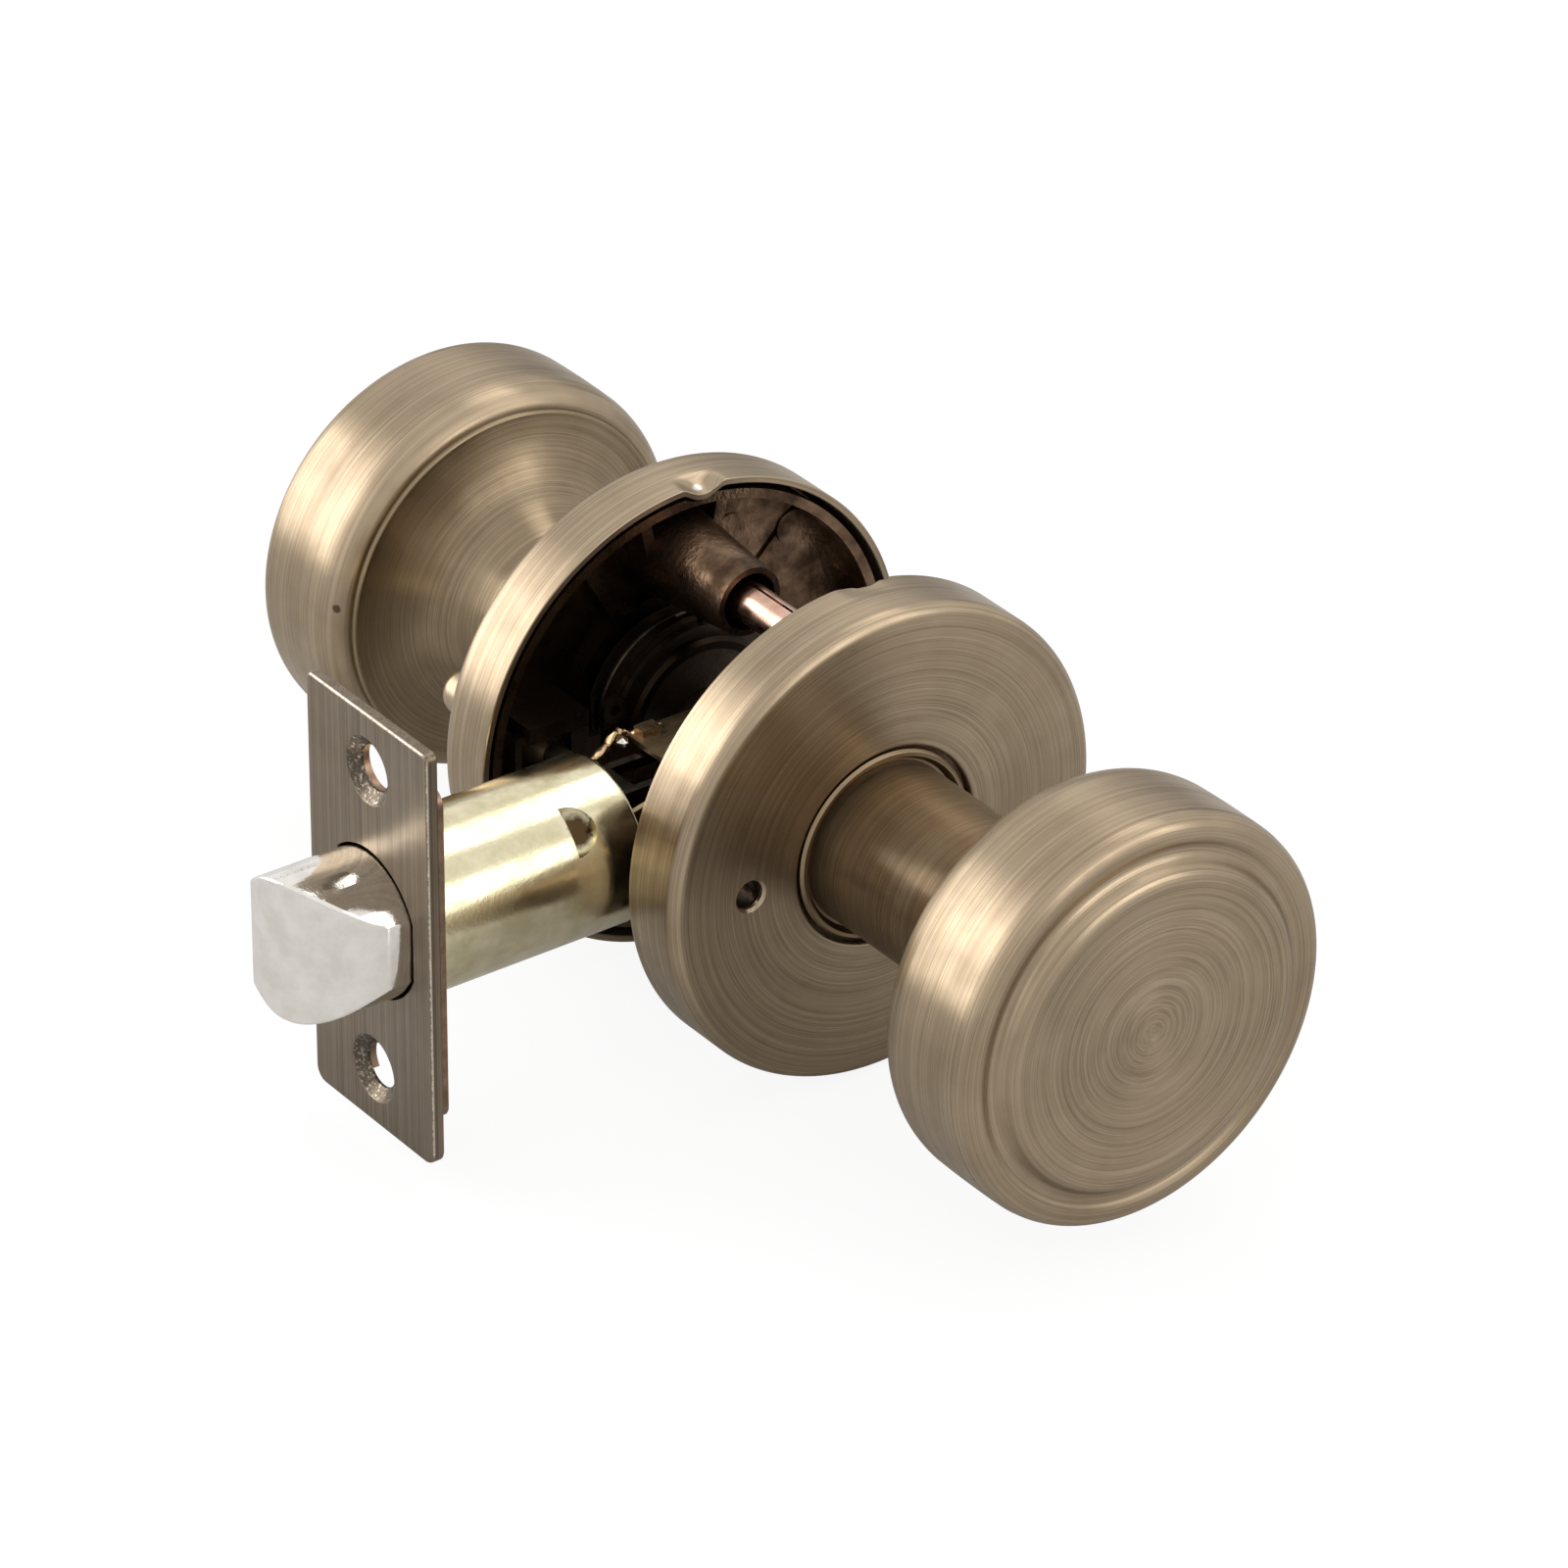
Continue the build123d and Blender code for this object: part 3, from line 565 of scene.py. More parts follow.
def plate_wear() -> bpy.types.NodeTree:
    """Masks of the faceplate's outline and of its screw holes' walls.

    Edge rises over the last bit before the outline, |y| and |z| measured in millimetres; Hole is
    one inside the countersink's rim, by the distance from the hole's middle.

    Returns:
        The group, which puts out Edge and Hole.
    """
    outline = {"Half width": 12.7, "Half height": 28.575, "Front": -60.0}
    holes = {"Hole height": 20.8, "Hole radius": 4.45}
    group, b, given, out = new_group("plate wear", outline | holes, ("Edge", "Hole"))
    where, x, *across = b.point()
    y, z = (b.math("ABSOLUTE", part) for part in across)
    past_side = b.math("SUBTRACT", y, given["Half width"])
    past_end = b.math("SUBTRACT", z, given["Half height"])
    beyond = b.ragged(b.math("MAXIMUM", past_side, past_end), 0.3, where, 2600.0, 2.0)
    ahead = b.math("SUBTRACT", given["Front"], x)
    b.feed(out.inputs["Edge"], b.math("MULTIPLY", b.ramp(beyond, -0.20, -0.06), b.ramp(ahead, 0.0, 0.2)))
    away = b.distance(y, b.math("SUBTRACT", z, given["Hole height"]))
    b.feed(out.inputs["Hole"], b.ramp(b.math("SUBTRACT", away, given["Hole radius"]), -0.02, -0.1))
    return group


def middle_shade() -> bpy.types.NodeTree:
    """Mask of painted shade, full over the middle and the latch's side and fading beyond.

    Formula: distance from a point on the shaded side, in millimetres, made ragged by noise.

    Returns:
        The group, which puts out Middle shade.
    """
    group, b, given, out = new_group("middle_shade", {"Middle": -9.0, "Near": 15.0, "Far": 27.0}, ("Middle shade",))
    where, x, _, z = b.point()
    away = b.distance(b.math("SUBTRACT", x, given["Middle"]), z)
    away = b.ragged(away, 14.0, where, 220.0, 4.0)
    b.feed(out.inputs["Middle shade"], b.ramp(away, given["Far"], given["Near"]))
    return group


def tucked() -> bpy.types.NodeTree:
    """Mask of painted shade that rises from one Y to another, for the part of a neck that is inside its rose.

    Returns:
        The group, which puts out Tucked.
    """
    group, b, given, out = new_group("tucked", {"From": 0.0, "To": 1.0}, ("Tucked",))
    b.feed(out.inputs["Tucked"], b.ramp(b.point()[2], given["From"], given["To"]))
    return group


def mark() -> bpy.types.NodeTree:
    """Mask of one mark: a ball round a point, in millimetres, with a ragged rim.

    Returns:
        The group, which puts out Mark.
    """
    group, b, given, out = new_group("mark", {"X": 0.0, "Y": 0.0, "Z": 0.0, "Radius": 1.0}, ("Mark",))
    where, *spot = b.point()
    steps = [b.math("SUBTRACT", part, given[label]) for part, label in zip(spot, "XYZ")]
    away = b.math("DIVIDE", b.distance(*steps), given["Radius"])
    b.feed(out.inputs["Mark"], b.ramp(b.ragged(away, 0.45, where, 1600.0, 2.0), 1.0, 0.6))
    return group


BRASS_LIGHT = (0.46, 0.36, 0.245)
BRASS_DARK = (0.18, 0.13, 0.082)
HOLE_DARK = (0.10, 0.078, 0.056, 1.0)
HOLE_BRIGHT = (0.55, 0.48, 0.40, 1.0)
WORN_EDGE = (0.80, 0.72, 0.60, 1.0)
# Near-black painted shade for the middle of the casting.
MIDDLE_SHADE_PAINT = (0.05, 0.035, 0.025, 1.0)
DEEP_SHADE = (0.018, 0.012, 0.008, 1.0)
ACROSS_THE_GRAIN = 0.25


@dataclass(frozen=True)
class Finish:
    """One metal finish.

    Attributes:
        name: what the finish is called.
        light: colour on the brushed high points.
        dark: colour in the grooves and clouds.
        rough: roughness range.
        grain: how it was brushed.
        lead: for round brushing, how the lines move with Y.
        fine: brush lines per millimetre.
        reach: how far a brush line runs before it fades.
        depth: bump distance of the grain, in millimetres.
        cloud: how much the clouds darken.
        cloud_size: how far apart the clouds are, in millimetres.
        stretch: anisotropy along the grain.
        pits: how much fine specks roughen the surface.
        pit_size: how far apart the specks are, in millimetres.
        mask: where it is worn or dirty.
        tucked: where along Y the painted shade inside the rose begins, in millimetres.
        spots: marks, each with its place, its radius and its colour.
    """

    name: str
    light: tuple
    dark: tuple
    rough: tuple = (0.22, 0.34)
    grain: Grain = Grain.NONE
    lead: float = -1.0
    fine: float = 6.0
    reach: float = 0.75
    depth: float = 0.004
    cloud: float = 0.15
    cloud_size: float = 9.0
    stretch: float = 0.78
    pits: float = 0.0
    pit_size: float = 0.5
    mask: Mask = Mask.NONE
    tucked: tuple = (0.0, 1.0)
    spots: tuple = ()


class Workshop:
    """Makes each material once, from its finish."""

    def __init__(self) -> None:
        """Builds the shared node groups."""
        self.groups = {Grain.ROUND: round_brushing(), Grain.LENGTHWISE: length_brushing()}
        self.cloud_group = blotches()
        self.plate_group = plate_wear()
        self.middle_shade_group = middle_shade()
        self.tucked_group = tucked()
        self.mark_group = mark()
        self.made: dict = {}

    def place(self, bench: NodeBench, group: bpy.types.NodeTree, **values: float) -> bpy.types.Node:
        """Places a node group and sets its inputs.

        Args:
            bench: where it is placed.
            group: the group.
            values: input values, with underscores for spaces.

        Returns:
            The group node.
        """
        node = bench.add("ShaderNodeGroup", node_tree=group)
        for key, value in values.items():
            node.inputs[key.replace("_", " ")].default_value = value
        return node

    def metal(self, finish: Finish) -> bpy.types.Material:
        """Material for a metal finish.

        Args:
            finish: the finish.

        Returns:
            The material.
        """
        if finish.name in self.made:
            return self.made[finish.name]
        material = bpy.data.materials.new(finish.name)
        material.use_nodes = True
        material.node_tree.nodes.clear()
        b = NodeBench(material.node_tree)
        clouds = self.place(b, self.cloud_group, Size=finish.cloud_size, Speck_size=finish.pit_size)
        colour_factor = b.math("MULTIPLY", clouds.outputs["Cloud"], finish.cloud)
        height: object = b.math("MULTIPLY", clouds.outputs["Speck"], finish.pits)
        rough: object = b.ramp(clouds.outputs["Cloud"], 0.0, 1.0, finish.rough[0], finish.rough[1])
        if finish.grain is not Grain.NONE:
            values = {"Fine": finish.fine, "Reach": finish.reach}
            if finish.grain is Grain.ROUND:
                values["Lead"] = finish.lead
            brush = self.place(b, self.groups[finish.grain], **values)
            streak = brush.outputs["Streak"]
            grooves = b.math("MULTIPLY", b.math("SUBTRACT", 1.0, streak), 0.55)
            colour_factor = b.math("ADD", colour_factor, grooves)
            height = b.math("ADD", height, streak)
            rough = b.math("ADD", rough, b.math("MULTIPLY", brush.outputs["Scratch"], -0.06))
        colour = b.mix(colour_factor, (*finish.light, 1.0), (*finish.dark, 1.0))
        if finish.mask is Mask.PLATE:
            wear = self.place(b, self.plate_group)
            scratch = self.place(b, self.cloud_group, Size=0.9, Speck_size=0.45)
            silver = b.mix(b.math("POWER", scratch.outputs["Speck"], 3.0), HOLE_DARK, HOLE_BRIGHT)
            colour = b.mix(wear.outputs["Edge"], colour, WORN_EDGE)
            colour = b.mix(wear.outputs["Hole"], colour, silver)
            torn = b.math("MULTIPLY", scratch.outputs["Speck"], 2.5)
            height = b.math("ADD", height, b.math("MULTIPLY", wear.outputs["Hole"], torn))
        # Painted shade: the casting darkens towards near-black over its middle and the latch's side.
        if finish.mask is Mask.GREASE:
            middle_shade_mask = self.place(b, self.middle_shade_group)
            colour = b.mix(middle_shade_mask.outputs["Middle shade"], colour, MIDDLE_SHADE_PAINT)
        # Painted shade: the neck turns near-black where it is inside the rose.
        if finish.mask is Mask.TUCKED:
            rose_shade_mask = self.place(b, self.tucked_group, From=finish.tucked[0], To=finish.tucked[1])
            colour = b.mix(rose_shade_mask.outputs["Tucked"], colour, DEEP_SHADE)
        for x, y, z, radius, paint in finish.spots:
            mark = self.place(b, self.mark_group, X=x, Y=y, Z=z, Radius=radius)
            colour = b.mix(mark.outputs["Mark"], colour, (*paint, 1.0))
        bump = b.add("ShaderNodeBump", in_Strength=1.0, in_Distance=finish.depth * MM, in_Height=height)
        surface = b.add("ShaderNodeBsdfPrincipled", in_Base_Color=colour, in_Roughness=rough)
        b.feed(surface.inputs["Metallic"], 1.0)
        b.feed(surface.inputs["Normal"], bump.outputs[0])
        if finish.stretch and finish.grain is not Grain.NONE:
            surface.inputs["Anisotropic"].default_value = finish.stretch
            surface.inputs["Anisotropic Rotation"].default_value = ACROSS_THE_GRAIN
            tangent = b.add("ShaderNodeTangent", direction_type="UV_MAP", uv_map="Grain")
            b.feed(surface.inputs["Tangent"], tangent.outputs[0])
        b.add("ShaderNodeOutputMaterial", in_Surface=surface.outputs[0])
        self.made[finish.name] = material
        return material


FINISHES = {
    "face": Finish(
        "antique brass, knob", BRASS_LIGHT, BRASS_DARK, rough=(0.28, 0.36), grain=Grain.ROUND, lead=1.0
    ),
    "face_inside": Finish(
        "antique brass, inside knob", BRASS_LIGHT, BRASS_DARK, rough=(0.28, 0.36),
        grain=Grain.ROUND, lead=-1.0,
        spots=(
            (1.5, 19.0, 30.9, 0.75, (0.75, 0.70, 0.64)),
            (-25.4, 59.4, 4.0, 0.7, (0.10, 0.07, 0.045)),
            (-24.9, 59.6, 5.2, 0.45, (0.12, 0.085, 0.05)),
        ),
    ),
    # The necks are the knob's own brass darkened as painted shade, the outside neck more than the inside one.
    "neck": Finish(
        "brass, neck, in painted shade", (0.29, 0.215, 0.135), (0.115, 0.08, 0.048), rough=(0.28, 0.38),
        grain=Grain.ROUND, lead=-1.0, mask=Mask.TUCKED, tucked=(-20.4, -18.0),
    ),
    "neck_inside": Finish(
        "brass, inside neck, in painted shade", (0.35, 0.27, 0.175), (0.15, 0.108, 0.066), rough=(0.3, 0.4),
        grain=Grain.ROUND, lead=1.0, mask=Mask.TUCKED, tucked=(25.2, 22.8),
    ),
    "ring": Finish(
        "dark brass, ring", (0.34, 0.25, 0.155), (0.14, 0.095, 0.055), rough=(0.3, 0.4),
        grain=Grain.ROUND, lead=1.0, stretch=0.0,
    ),
    "button": Finish("antique brass, button", BRASS_LIGHT, BRASS_DARK, rough=(0.3, 0.4), cloud=0.5),
    "plate": Finish(
        "antique brass, faceplate", (0.27, 0.215, 0.155), (0.085, 0.066, 0.045), rough=(0.30, 0.40),
        grain=Grain.LENGTHWISE, fine=3.2, reach=0.006, depth=0.005, stretch=0.0, mask=Mask.PLATE,
    ),
    "yellow_zinc": Finish(
        "yellow zinc", (0.80, 0.72, 0.50), (0.56, 0.50, 0.30), rough=(0.14, 0.24),
        # The spot is painted shade: the dark core of the tube's punched dimple.
        cloud=0.8, cloud_size=4.0, pits=1.0, spots=((-34.9, -6.6, 6.6, 2.5, (0.085, 0.052, 0.024)),),
    ),
    "case_zinc": Finish(
        "case sheet", (0.50, 0.38, 0.22), (0.20, 0.13, 0.07), rough=(0.25, 0.4),
        cloud=0.7, cloud_size=3.0, pits=1.0, depth=0.01,
    ),
    # The works deep in the chassis are near-black: painted shade over their steel.
    "works": Finish(
        "steel, near-black as painted shade", (0.11, 0.082, 0.06), (0.04, 0.03, 0.022), rough=(0.3, 0.5),
        cloud=0.9, cloud_size=4.0, pits=1.0, depth=0.01,
    ),
    "backing": Finish(
        "dull copper flash", (0.34, 0.22, 0.15), (0.16, 0.10, 0.066), rough=(0.3, 0.45),
        cloud=0.8, cloud_size=3.0, pits=0.8, depth=0.006,
    ),
    "torn": Finish(
        "torn gold edge", (0.80, 0.58, 0.34), (0.30, 0.18, 0.09), rough=(0.18, 0.32),
        cloud=0.9, cloud_size=1.4, pits=1.0, pit_size=0.6, depth=0.02,
    ),
    "nickel": Finish(
        "polished nickel", (0.86, 0.82, 0.76), (0.62, 0.57, 0.50), rough=(0.07, 0.15),
        cloud=0.45, cloud_size=3.2, pits=1.0, pit_size=0.9, depth=0.006,
    ),
    # Bronze casting in its own colours, with painted shade over its middle.
    "casting": Finish(
        "bronzed die casting", (0.23, 0.145, 0.09), (0.06, 0.034, 0.02), rough=(0.26, 0.46),
        cloud=1.0, cloud_size=5.0, pits=1.0, pit_size=0.8, depth=0.03, mask=Mask.GREASE,
    ),
    "copper": Finish(
        "copper flash", (0.80, 0.52, 0.40), (0.42, 0.24, 0.16), rough=(0.15, 0.28),
        cloud=0.6, cloud_size=3.0, pits=0.6, depth=0.006,
    ),
    "wire": Finish(
        "spring steel", (0.12, 0.10, 0.085), (0.05, 0.04, 0.033), rough=(0.2, 0.32),
        cloud=0.5, cloud_size=3.0, pits=0.5,
    ),
}


# Sub-assemblies


# The shell's section, as cubic curves: how many points, then four control points, each a radius
# and a distance outward from the shell's middle, in millimetres
SHELL_CURVES = {
    "flat face": (24, (0, 14.5), (8, 14.5), (12.5, 14.5), (15.6, 14.6)),
    "rise to the bead": (16, (15.9, 14.61), (17.8, 14.7), (18.6, 14.98), (19.7, 14.9)),
    "fall into the cove": (24, (19.8, 14.89), (21.6, 14.7), (21.0, 12.9), (22.6, 12.7)),
    "cove to shoulder": (14, (22.7, 12.69), (23.4, 12.62), (23.8, 13.1), (24.5, 13.12)),
    "shoulder": (20, (24.6, 13.12), (26.0, 13.1), (26.85, 12.2), (26.9, 10.6)),
    "crowned band": (20, (26.92, 10.7), (27.02, 8), (27.02, 3), (26.9, 0.4)),
    "rolled lip": (14, (26.9, 0.2), (26.7, -1.8), (25.9, -3.0), (25.2, -3.5)),
    "seam": (6, (25.1, -3.6), (24.8, -3.85), (24.4, -3.95), (24.0, -3.9)),
}
SHELL_INSIDE = ((24.0, -2.7), (25.0, -2.7), (25.6, -0.4), (25.6, 10), (23.4, 11.0), (20.0, 12.9), (0.0, 13.1))


@dataclass
class KnobHalf:
    """One half's turned skins: its knob's shell and neck, and its rose, in millimetres.

    Attributes:
        side: which half.
        shop: where its finishes are made.
        seam_drop: how far the funnel's lip is below the shell's middle.
        neck_radius: outer radius of the neck.
        neck_bore: its inner radius.
        rose_radius: outer radius of the rose.
        rose_depth: its height.
        rose_wall: its sheet.
        rose_edge: radius of its rolled edge.
        hole_radius: radius of its middle hole.
        hole_lip: radius of that hole's lip.
        side_hole: how far its pin or button hole is from the axis.
        pin_hole: radius of the outside rose's release hole.
        button_hole: radius of the inside rose's button hole.
        dent_angle: where the staked dent is, in degrees.
        dent_width: half its width, in degrees.
        dent_reach: how far it reaches from the rim.
        light_dent: how deep it is in the outside rose.
        deep_dent: how deep it is in the inside rose.
        tear: the torn stretch's middle and half width, in degrees.
    """

    side: Side
    shop: Workshop
    seam_drop: float = 4.0
    neck_radius: float = 10.9
    neck_bore: float = 9.4
    rose_radius: float = 31.75
    rose_depth: float = 9.1
    rose_wall: float = 0.9
    rose_edge: float = 1.8
    hole_radius: float = 13.25
    hole_lip: float = 0.35
    side_hole: float = 20.2
    pin_hole: float = 1.9
    button_hole: float = 3.4
    dent_angle: float = 87.0
    dent_width: float = 5.6
    dent_reach: float = 3.4
    light_dent: float = 0.45
    deep_dent: float = 1.35
    tear: tuple = (83.0, 5.2)
    half: HalfSizes = field(init=False)

    def __post_init__(self) -> None:
        """Looks up where this half sits."""
        self.half = HALVES[self.side]

    def name(self, piece: str) -> str:
        """The node or piece name on this side."""
        return f"{self.side.value}_{piece}"

    def finish(self, key: str) -> bpy.types.Material:
        """The material of a finish, in this side's own turn of the grain where it has one."""
        inside = key + "_inside"
        wanted = inside if self.side is Side.INSIDE and inside in FINISHES else key
        return self.shop.metal(FINISHES[wanted])

    def shell_profile(self) -> np.ndarray:
        """The shell's section: its outer curves in turn, then its inside.

        Returns:
            Closed profile of radius and distance outward.
        """
        curves = [bezier(points, count) for count, *points in SHELL_CURVES.values()]
        profile = np.vstack([*curves, np.array(SHELL_INSIDE, float)])
        return divided(profile + np.array([0.0, self.half.standoff]), 0.6)

    def neck_profile(self) -> np.ndarray:
        """The funnel and neck: flat collar at the seam, a concave flare and a straight neck.

        Returns:
            Closed profile of radius and distance outward.
        """
        lip = self.half.standoff - self.seam_drop
        outer, bore = self.neck_radius, self.neck_bore
        parts = [
            np.array([(24.4, lip + 1.4), (23.96, lip + 1.35), (23.96, lip + 0.05)]),
            arc((23.5, lip + 0.02), 0.42, -5, -95, 8),
            bezier([(23.3, lip - 0.36), (19.0, lip - 0.9), (11.2, lip - 3.2), (outer, lip - 15.5)], 48),
            np.array([(outer, -1.4), (10.4, -1.9), (bore, -1.9), (bore, lip - 14.8)]),
            bezier([(bore, lip - 14.8), (9.8, lip - 3.2), (18.5, lip + 0.6), (23.0, lip + 1.3)], 30),
            np.array([(23.0, lip + 2.5), (24.4, lip + 2.5), (24.4, lip + 1.4)]),
        ]
        return divided(np.vstack(parts), 0.7)

    def rose_profile(self) -> np.ndarray:
        """The rose's cup: rim, side wall, rolled edge, flat face and the hole's rounded lip.

        Returns:
            Closed profile of radius and distance outward.
        """
        r, d, w = self.rose_radius, self.rose_depth, self.rose_wall
        edge, lip, rim = self.rose_edge, self.hole_lip, 0.12
        parts = [
            np.array([(r - w, rim), (r - w + rim, 0.0), (r - rim, 0.0), (r, rim)]),
            arc((r - edge, d - edge), edge, 0, 90, 14),
            arc((self.hole_radius + lip, d - lip), lip, 90, 180, 6),
            np.array([(self.hole_radius, d - w)]),
            arc((r - edge, d - edge), edge - w, 90, 0, 8),
            np.array([(r - w, rim)]),
        ]
        return divided(np.vstack(parts), 0.35)

    def dented(self, points: np.ndarray) -> np.ndarray:
        """Pushes the staked dent into the rim.

        Formula: the radius falls by depth * bell(angle) * bell(height).

        Args:
            points: the rose's grid of points.

        Returns:
            The grid with its dent.
        """
        x, y, z = np.moveaxis(points, -1, 0)
        r = np.hypot(x, z)
        a = np.degrees(np.arctan2(z, x))
        u = (y - self.half.seat) * self.half.outward
        across = np.clip(1 - ((a - self.dent_angle) / self.dent_width) ** 2, 0, 1) ** 1.3
        down = np.clip(1 - (u / self.dent_reach) ** 2, 0, 1)
        deep = self.light_dent if self.side is Side.OUTSIDE else self.deep_dent
        push = np.where(r > self.rose_radius - 1.2, deep * across * down, 0.0)
        scale = (r - push) / np.maximum(r, 1e-6)
        if self.side is Side.OUTSIDE:
            y = self.half.y(np.maximum(u, self.torn_rim(a)))
        return np.stack([x * scale, y, z * scale], -1)

    def torn_rim(self, angle: np.ndarray) -> np.ndarray:
        """How far the rim is torn back at each angle.

        Formula: a flat-bottomed bell over the torn stretch, with two sine waves for its ragged edge.

        Args:
            angle: degrees round the axis.

        Returns:
            Distance outward from the rim, in millimetres.
        """
        middle, half_width = self.tear
        bell = np.clip(1 - np.abs((angle - middle) / half_width) ** 6, 0, 1)
        ragged = 0.16 * np.sin(angle * 5.1) + 0.10 * np.sin(angle * 12.7 + 1.0)
        return np.maximum(0.0, bell * (0.95 + ragged))

    def skin(self, piece: str, node: str, body: str, grid: tuple, key: str) -> bpy.types.Object:
        """Makes one turned piece, which stands for a node of this half.

        Args:
            piece: what the piece is.
            node: the node's name without its side.
            body: the body it rides on.
            grid: its points and their grain coordinates.
            key: its finish.

        Returns:
            The piece.
        """
        name = self.name(piece + "_skin")
        return add_piece(name, grid_mesh(name, *grid), body, [self.name(node)], self.finish(key))

    def build(self) -> None:
        """Builds and dresses every piece of this half."""
        knob = self.name("knob")
        self.skin("shell", "knob_shell", knob, turned(self.shell_profile(), self.half), "face")
        self.skin("neck", "knob_neck", knob, turned(self.neck_profile(), self.half), "neck")
        points, uv = turned(self.rose_profile(), self.half, 360)
        rose = self.skin("rose", "rose", "lock_body", (self.dented(points), uv), "face")
        radius = self.pin_hole if self.side is Side.OUTSIDE else self.button_hole
        for name, start, end, flare in (("hole", -2, 1, 0.0), ("bevel", -0.35, 0.65, 1.0)):
            near, far = (self.half.y(self.rose_depth + step) for step in (start, end))
            cut(rose, rod_mesh(name, radius, near, far, -self.side_hole, 0.0, flare))


def eased_copy(
    name: str, node: bpy.types.Object, width: float, body: str, finish: bpy.types.Material
) -> None:
    """Copy of a solid, merged, with its sharp edges rounded by a bevel.

    Args:
        name: the piece's name.
        node: the solid it stands for.
        width: the bevel's width in millimetres.
        body: the body it rides on.
        finish: its material.
    """
    mesh = node.data.copy()
    work = bmesh.new()
    work.from_mesh(mesh)
    bmesh.ops.remove_doubles(work, verts=work.verts, dist=1e-6)
    bmesh.ops.dissolve_limit(work, angle_limit=math.radians(0.4), verts=work.verts, edges=work.edges)
    work.to_mesh(mesh)
    work.free()
    piece = add_piece(name, mesh, body, [node.name], finish)
    step = piece.modifiers.new("eased edges", "BEVEL")
    step.width, step.segments, step.limit_method = width * MM, 3, "ANGLE"
    step.angle_limit = math.radians(30)
    finish_shading(mesh, 30.0)


@dataclass
class LatchFront:
    """The faceplate and the bolt, with the eased edges that stamping and polishing leave.

    Attributes:
        nodes: CAD nodes by name.
        shop: where its finishes are made.
        plate_ease: the faceplate's edge, in millimetres.
        bolt_ease: the bolt's edge, in millimetres.
    """

    nodes: dict
    shop: Workshop
    plate_ease: float = 0.14
    bolt_ease: float = 0.55

    def build(self) -> None:
        """Builds both pieces."""
        plate, bolt = self.nodes["latch_faceplate"], self.nodes["latch_bolt"]
        eased_copy("faceplate_skin", plate, self.plate_ease, "lock_body", self.shop.metal(FINISHES["plate"]))
        eased_copy("bolt_skin", bolt, self.bolt_ease, "bolt", self.shop.metal(FINISHES["nickel"]))


@dataclass
class LatchSpring:
    """The bolt's spring, copied as it is from its solid; the real one is pressed shorter as the bolt is drawn
    back.

    Attributes:
        nodes: CAD nodes by name.
        shop: where its finish is made.
        seat: the X of the end that stays, in metres; not used.
        throw: how far the bolt moves, in metres; not used.
    """

    nodes: dict
    shop: Workshop
    seat: float = -0.038
    throw: float = 0.01224

    def build(self) -> None:
        """Copies the solid into a piece of its own."""
        mesh = self.nodes["latch_spring"].data.copy()
        wire = self.shop.metal(FINISHES["wire"])
        spring = add_piece("latch_spring_skin", mesh, "lock_body", ["latch_spring"], wire)
        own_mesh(spring)


@dataclass
class TornCase:
    """The latch case's torn upper edge: a rippled gold ribbon, and a blob of weld beside it.

    Attributes:
        shop: where its finishes are made.
        ribbon: the ribbon's path in X and Z, in millimetres.
        side: the Y of the cheek that it is torn from.
        wide: half the ribbon's width along Y.
        thick: half its thickness.
        blob: the weld's middle.
        blob_radius: its radius before it is shaken.
    """

    shop: Workshop
    ribbon: tuple = (
        (-25.6, 5.2), (-23.4, 6.9), (-21.6, 7.6), (-20.6, 8.9),
        (-19.4, 9.4), (-18.0, 8.4), (-15.5, 8.35), (-12.5, 8.3),
    )
    side: float = 6.2
    wide: float = 0.6
    thick: float = 0.34
    blob: tuple = (-19.6, 5.3, 8.2)
    blob_radius: float = 0.75

    def ribbon_mesh(self) -> bpy.types.Mesh:
        """Rounded strip carried along the path, with ripples.

        Formula: middle(t) + thick * sin(b) * up + wide * cos(b) * Y, the middle shaken by two sines.

        Returns:
            The mesh.
        """
        t = np.linspace(0, 1, 90)
        path = np.asarray(self.ribbon)
        knots = np.linspace(0, 1, len(path))
        x, z = np.interp(t, knots, path[:, 0]), np.interp(t, knots, path[:, 1])
        calm = np.clip((0.72 - t) / 0.1, 0.15, 1)
        z = z + calm * (0.14 * np.sin(t * 31.0) + 0.06 * np.sin(t * 67.0 + 1.0))
        y = self.side + calm * 0.14 * np.sin(t * 23.0)
        shrink = np.sqrt(np.clip(1 - (2 * t - 1) ** 12, 0, 1))
        b = np.linspace(0, 2 * np.pi, 17)
        width = self.wide * shrink * (1 + calm * 0.18 * np.sin(t * 37.0))
        points = np.stack(np.broadcast_arrays(
            x[:, None] + 0 * b,
            y[:, None] + width[:, None] * np.cos(b),
            z[:, None] + (self.thick * shrink)[:, None] * np.sin(b),
        ), -1)
        return grid_mesh("torn_ribbon", points, points[..., :2] * 0.0, 60.0)

    def blob_mesh(self) -> bpy.types.Mesh:
        """Lumpy ball of weld: a sphere whose radius is shaken by two sines.

        Returns:
            The mesh.
        """
        a = np.linspace(0, 2 * np.pi, 33)
        e = np.linspace(-np.pi / 2, np.pi / 2, 17)[:, None]
        radius = self.blob_radius + 0.12 * np.sin(3 * a) * np.cos(e) + 0.1 * np.sin(5 * e)
        x, y, z = self.blob
        flat, rise = radius * np.cos(e), 0.7 * radius * np.sin(e)
        points = np.stack([x + flat * np.cos(a), y + flat * np.sin(a), z + rise + 0 * a], -1)
        return grid_mesh("weld_blob", points, points[..., :2] * 0.0, 80.0)

    def build(self) -> None:
        """Builds both pieces."""
        add_piece("torn_ribbon", self.ribbon_mesh(), "lock_body", [], self.shop.metal(FINISHES["torn"]))
        add_piece("weld_blob", self.blob_mesh(), "lock_body", [], self.shop.metal(FINISHES["nickel"]))


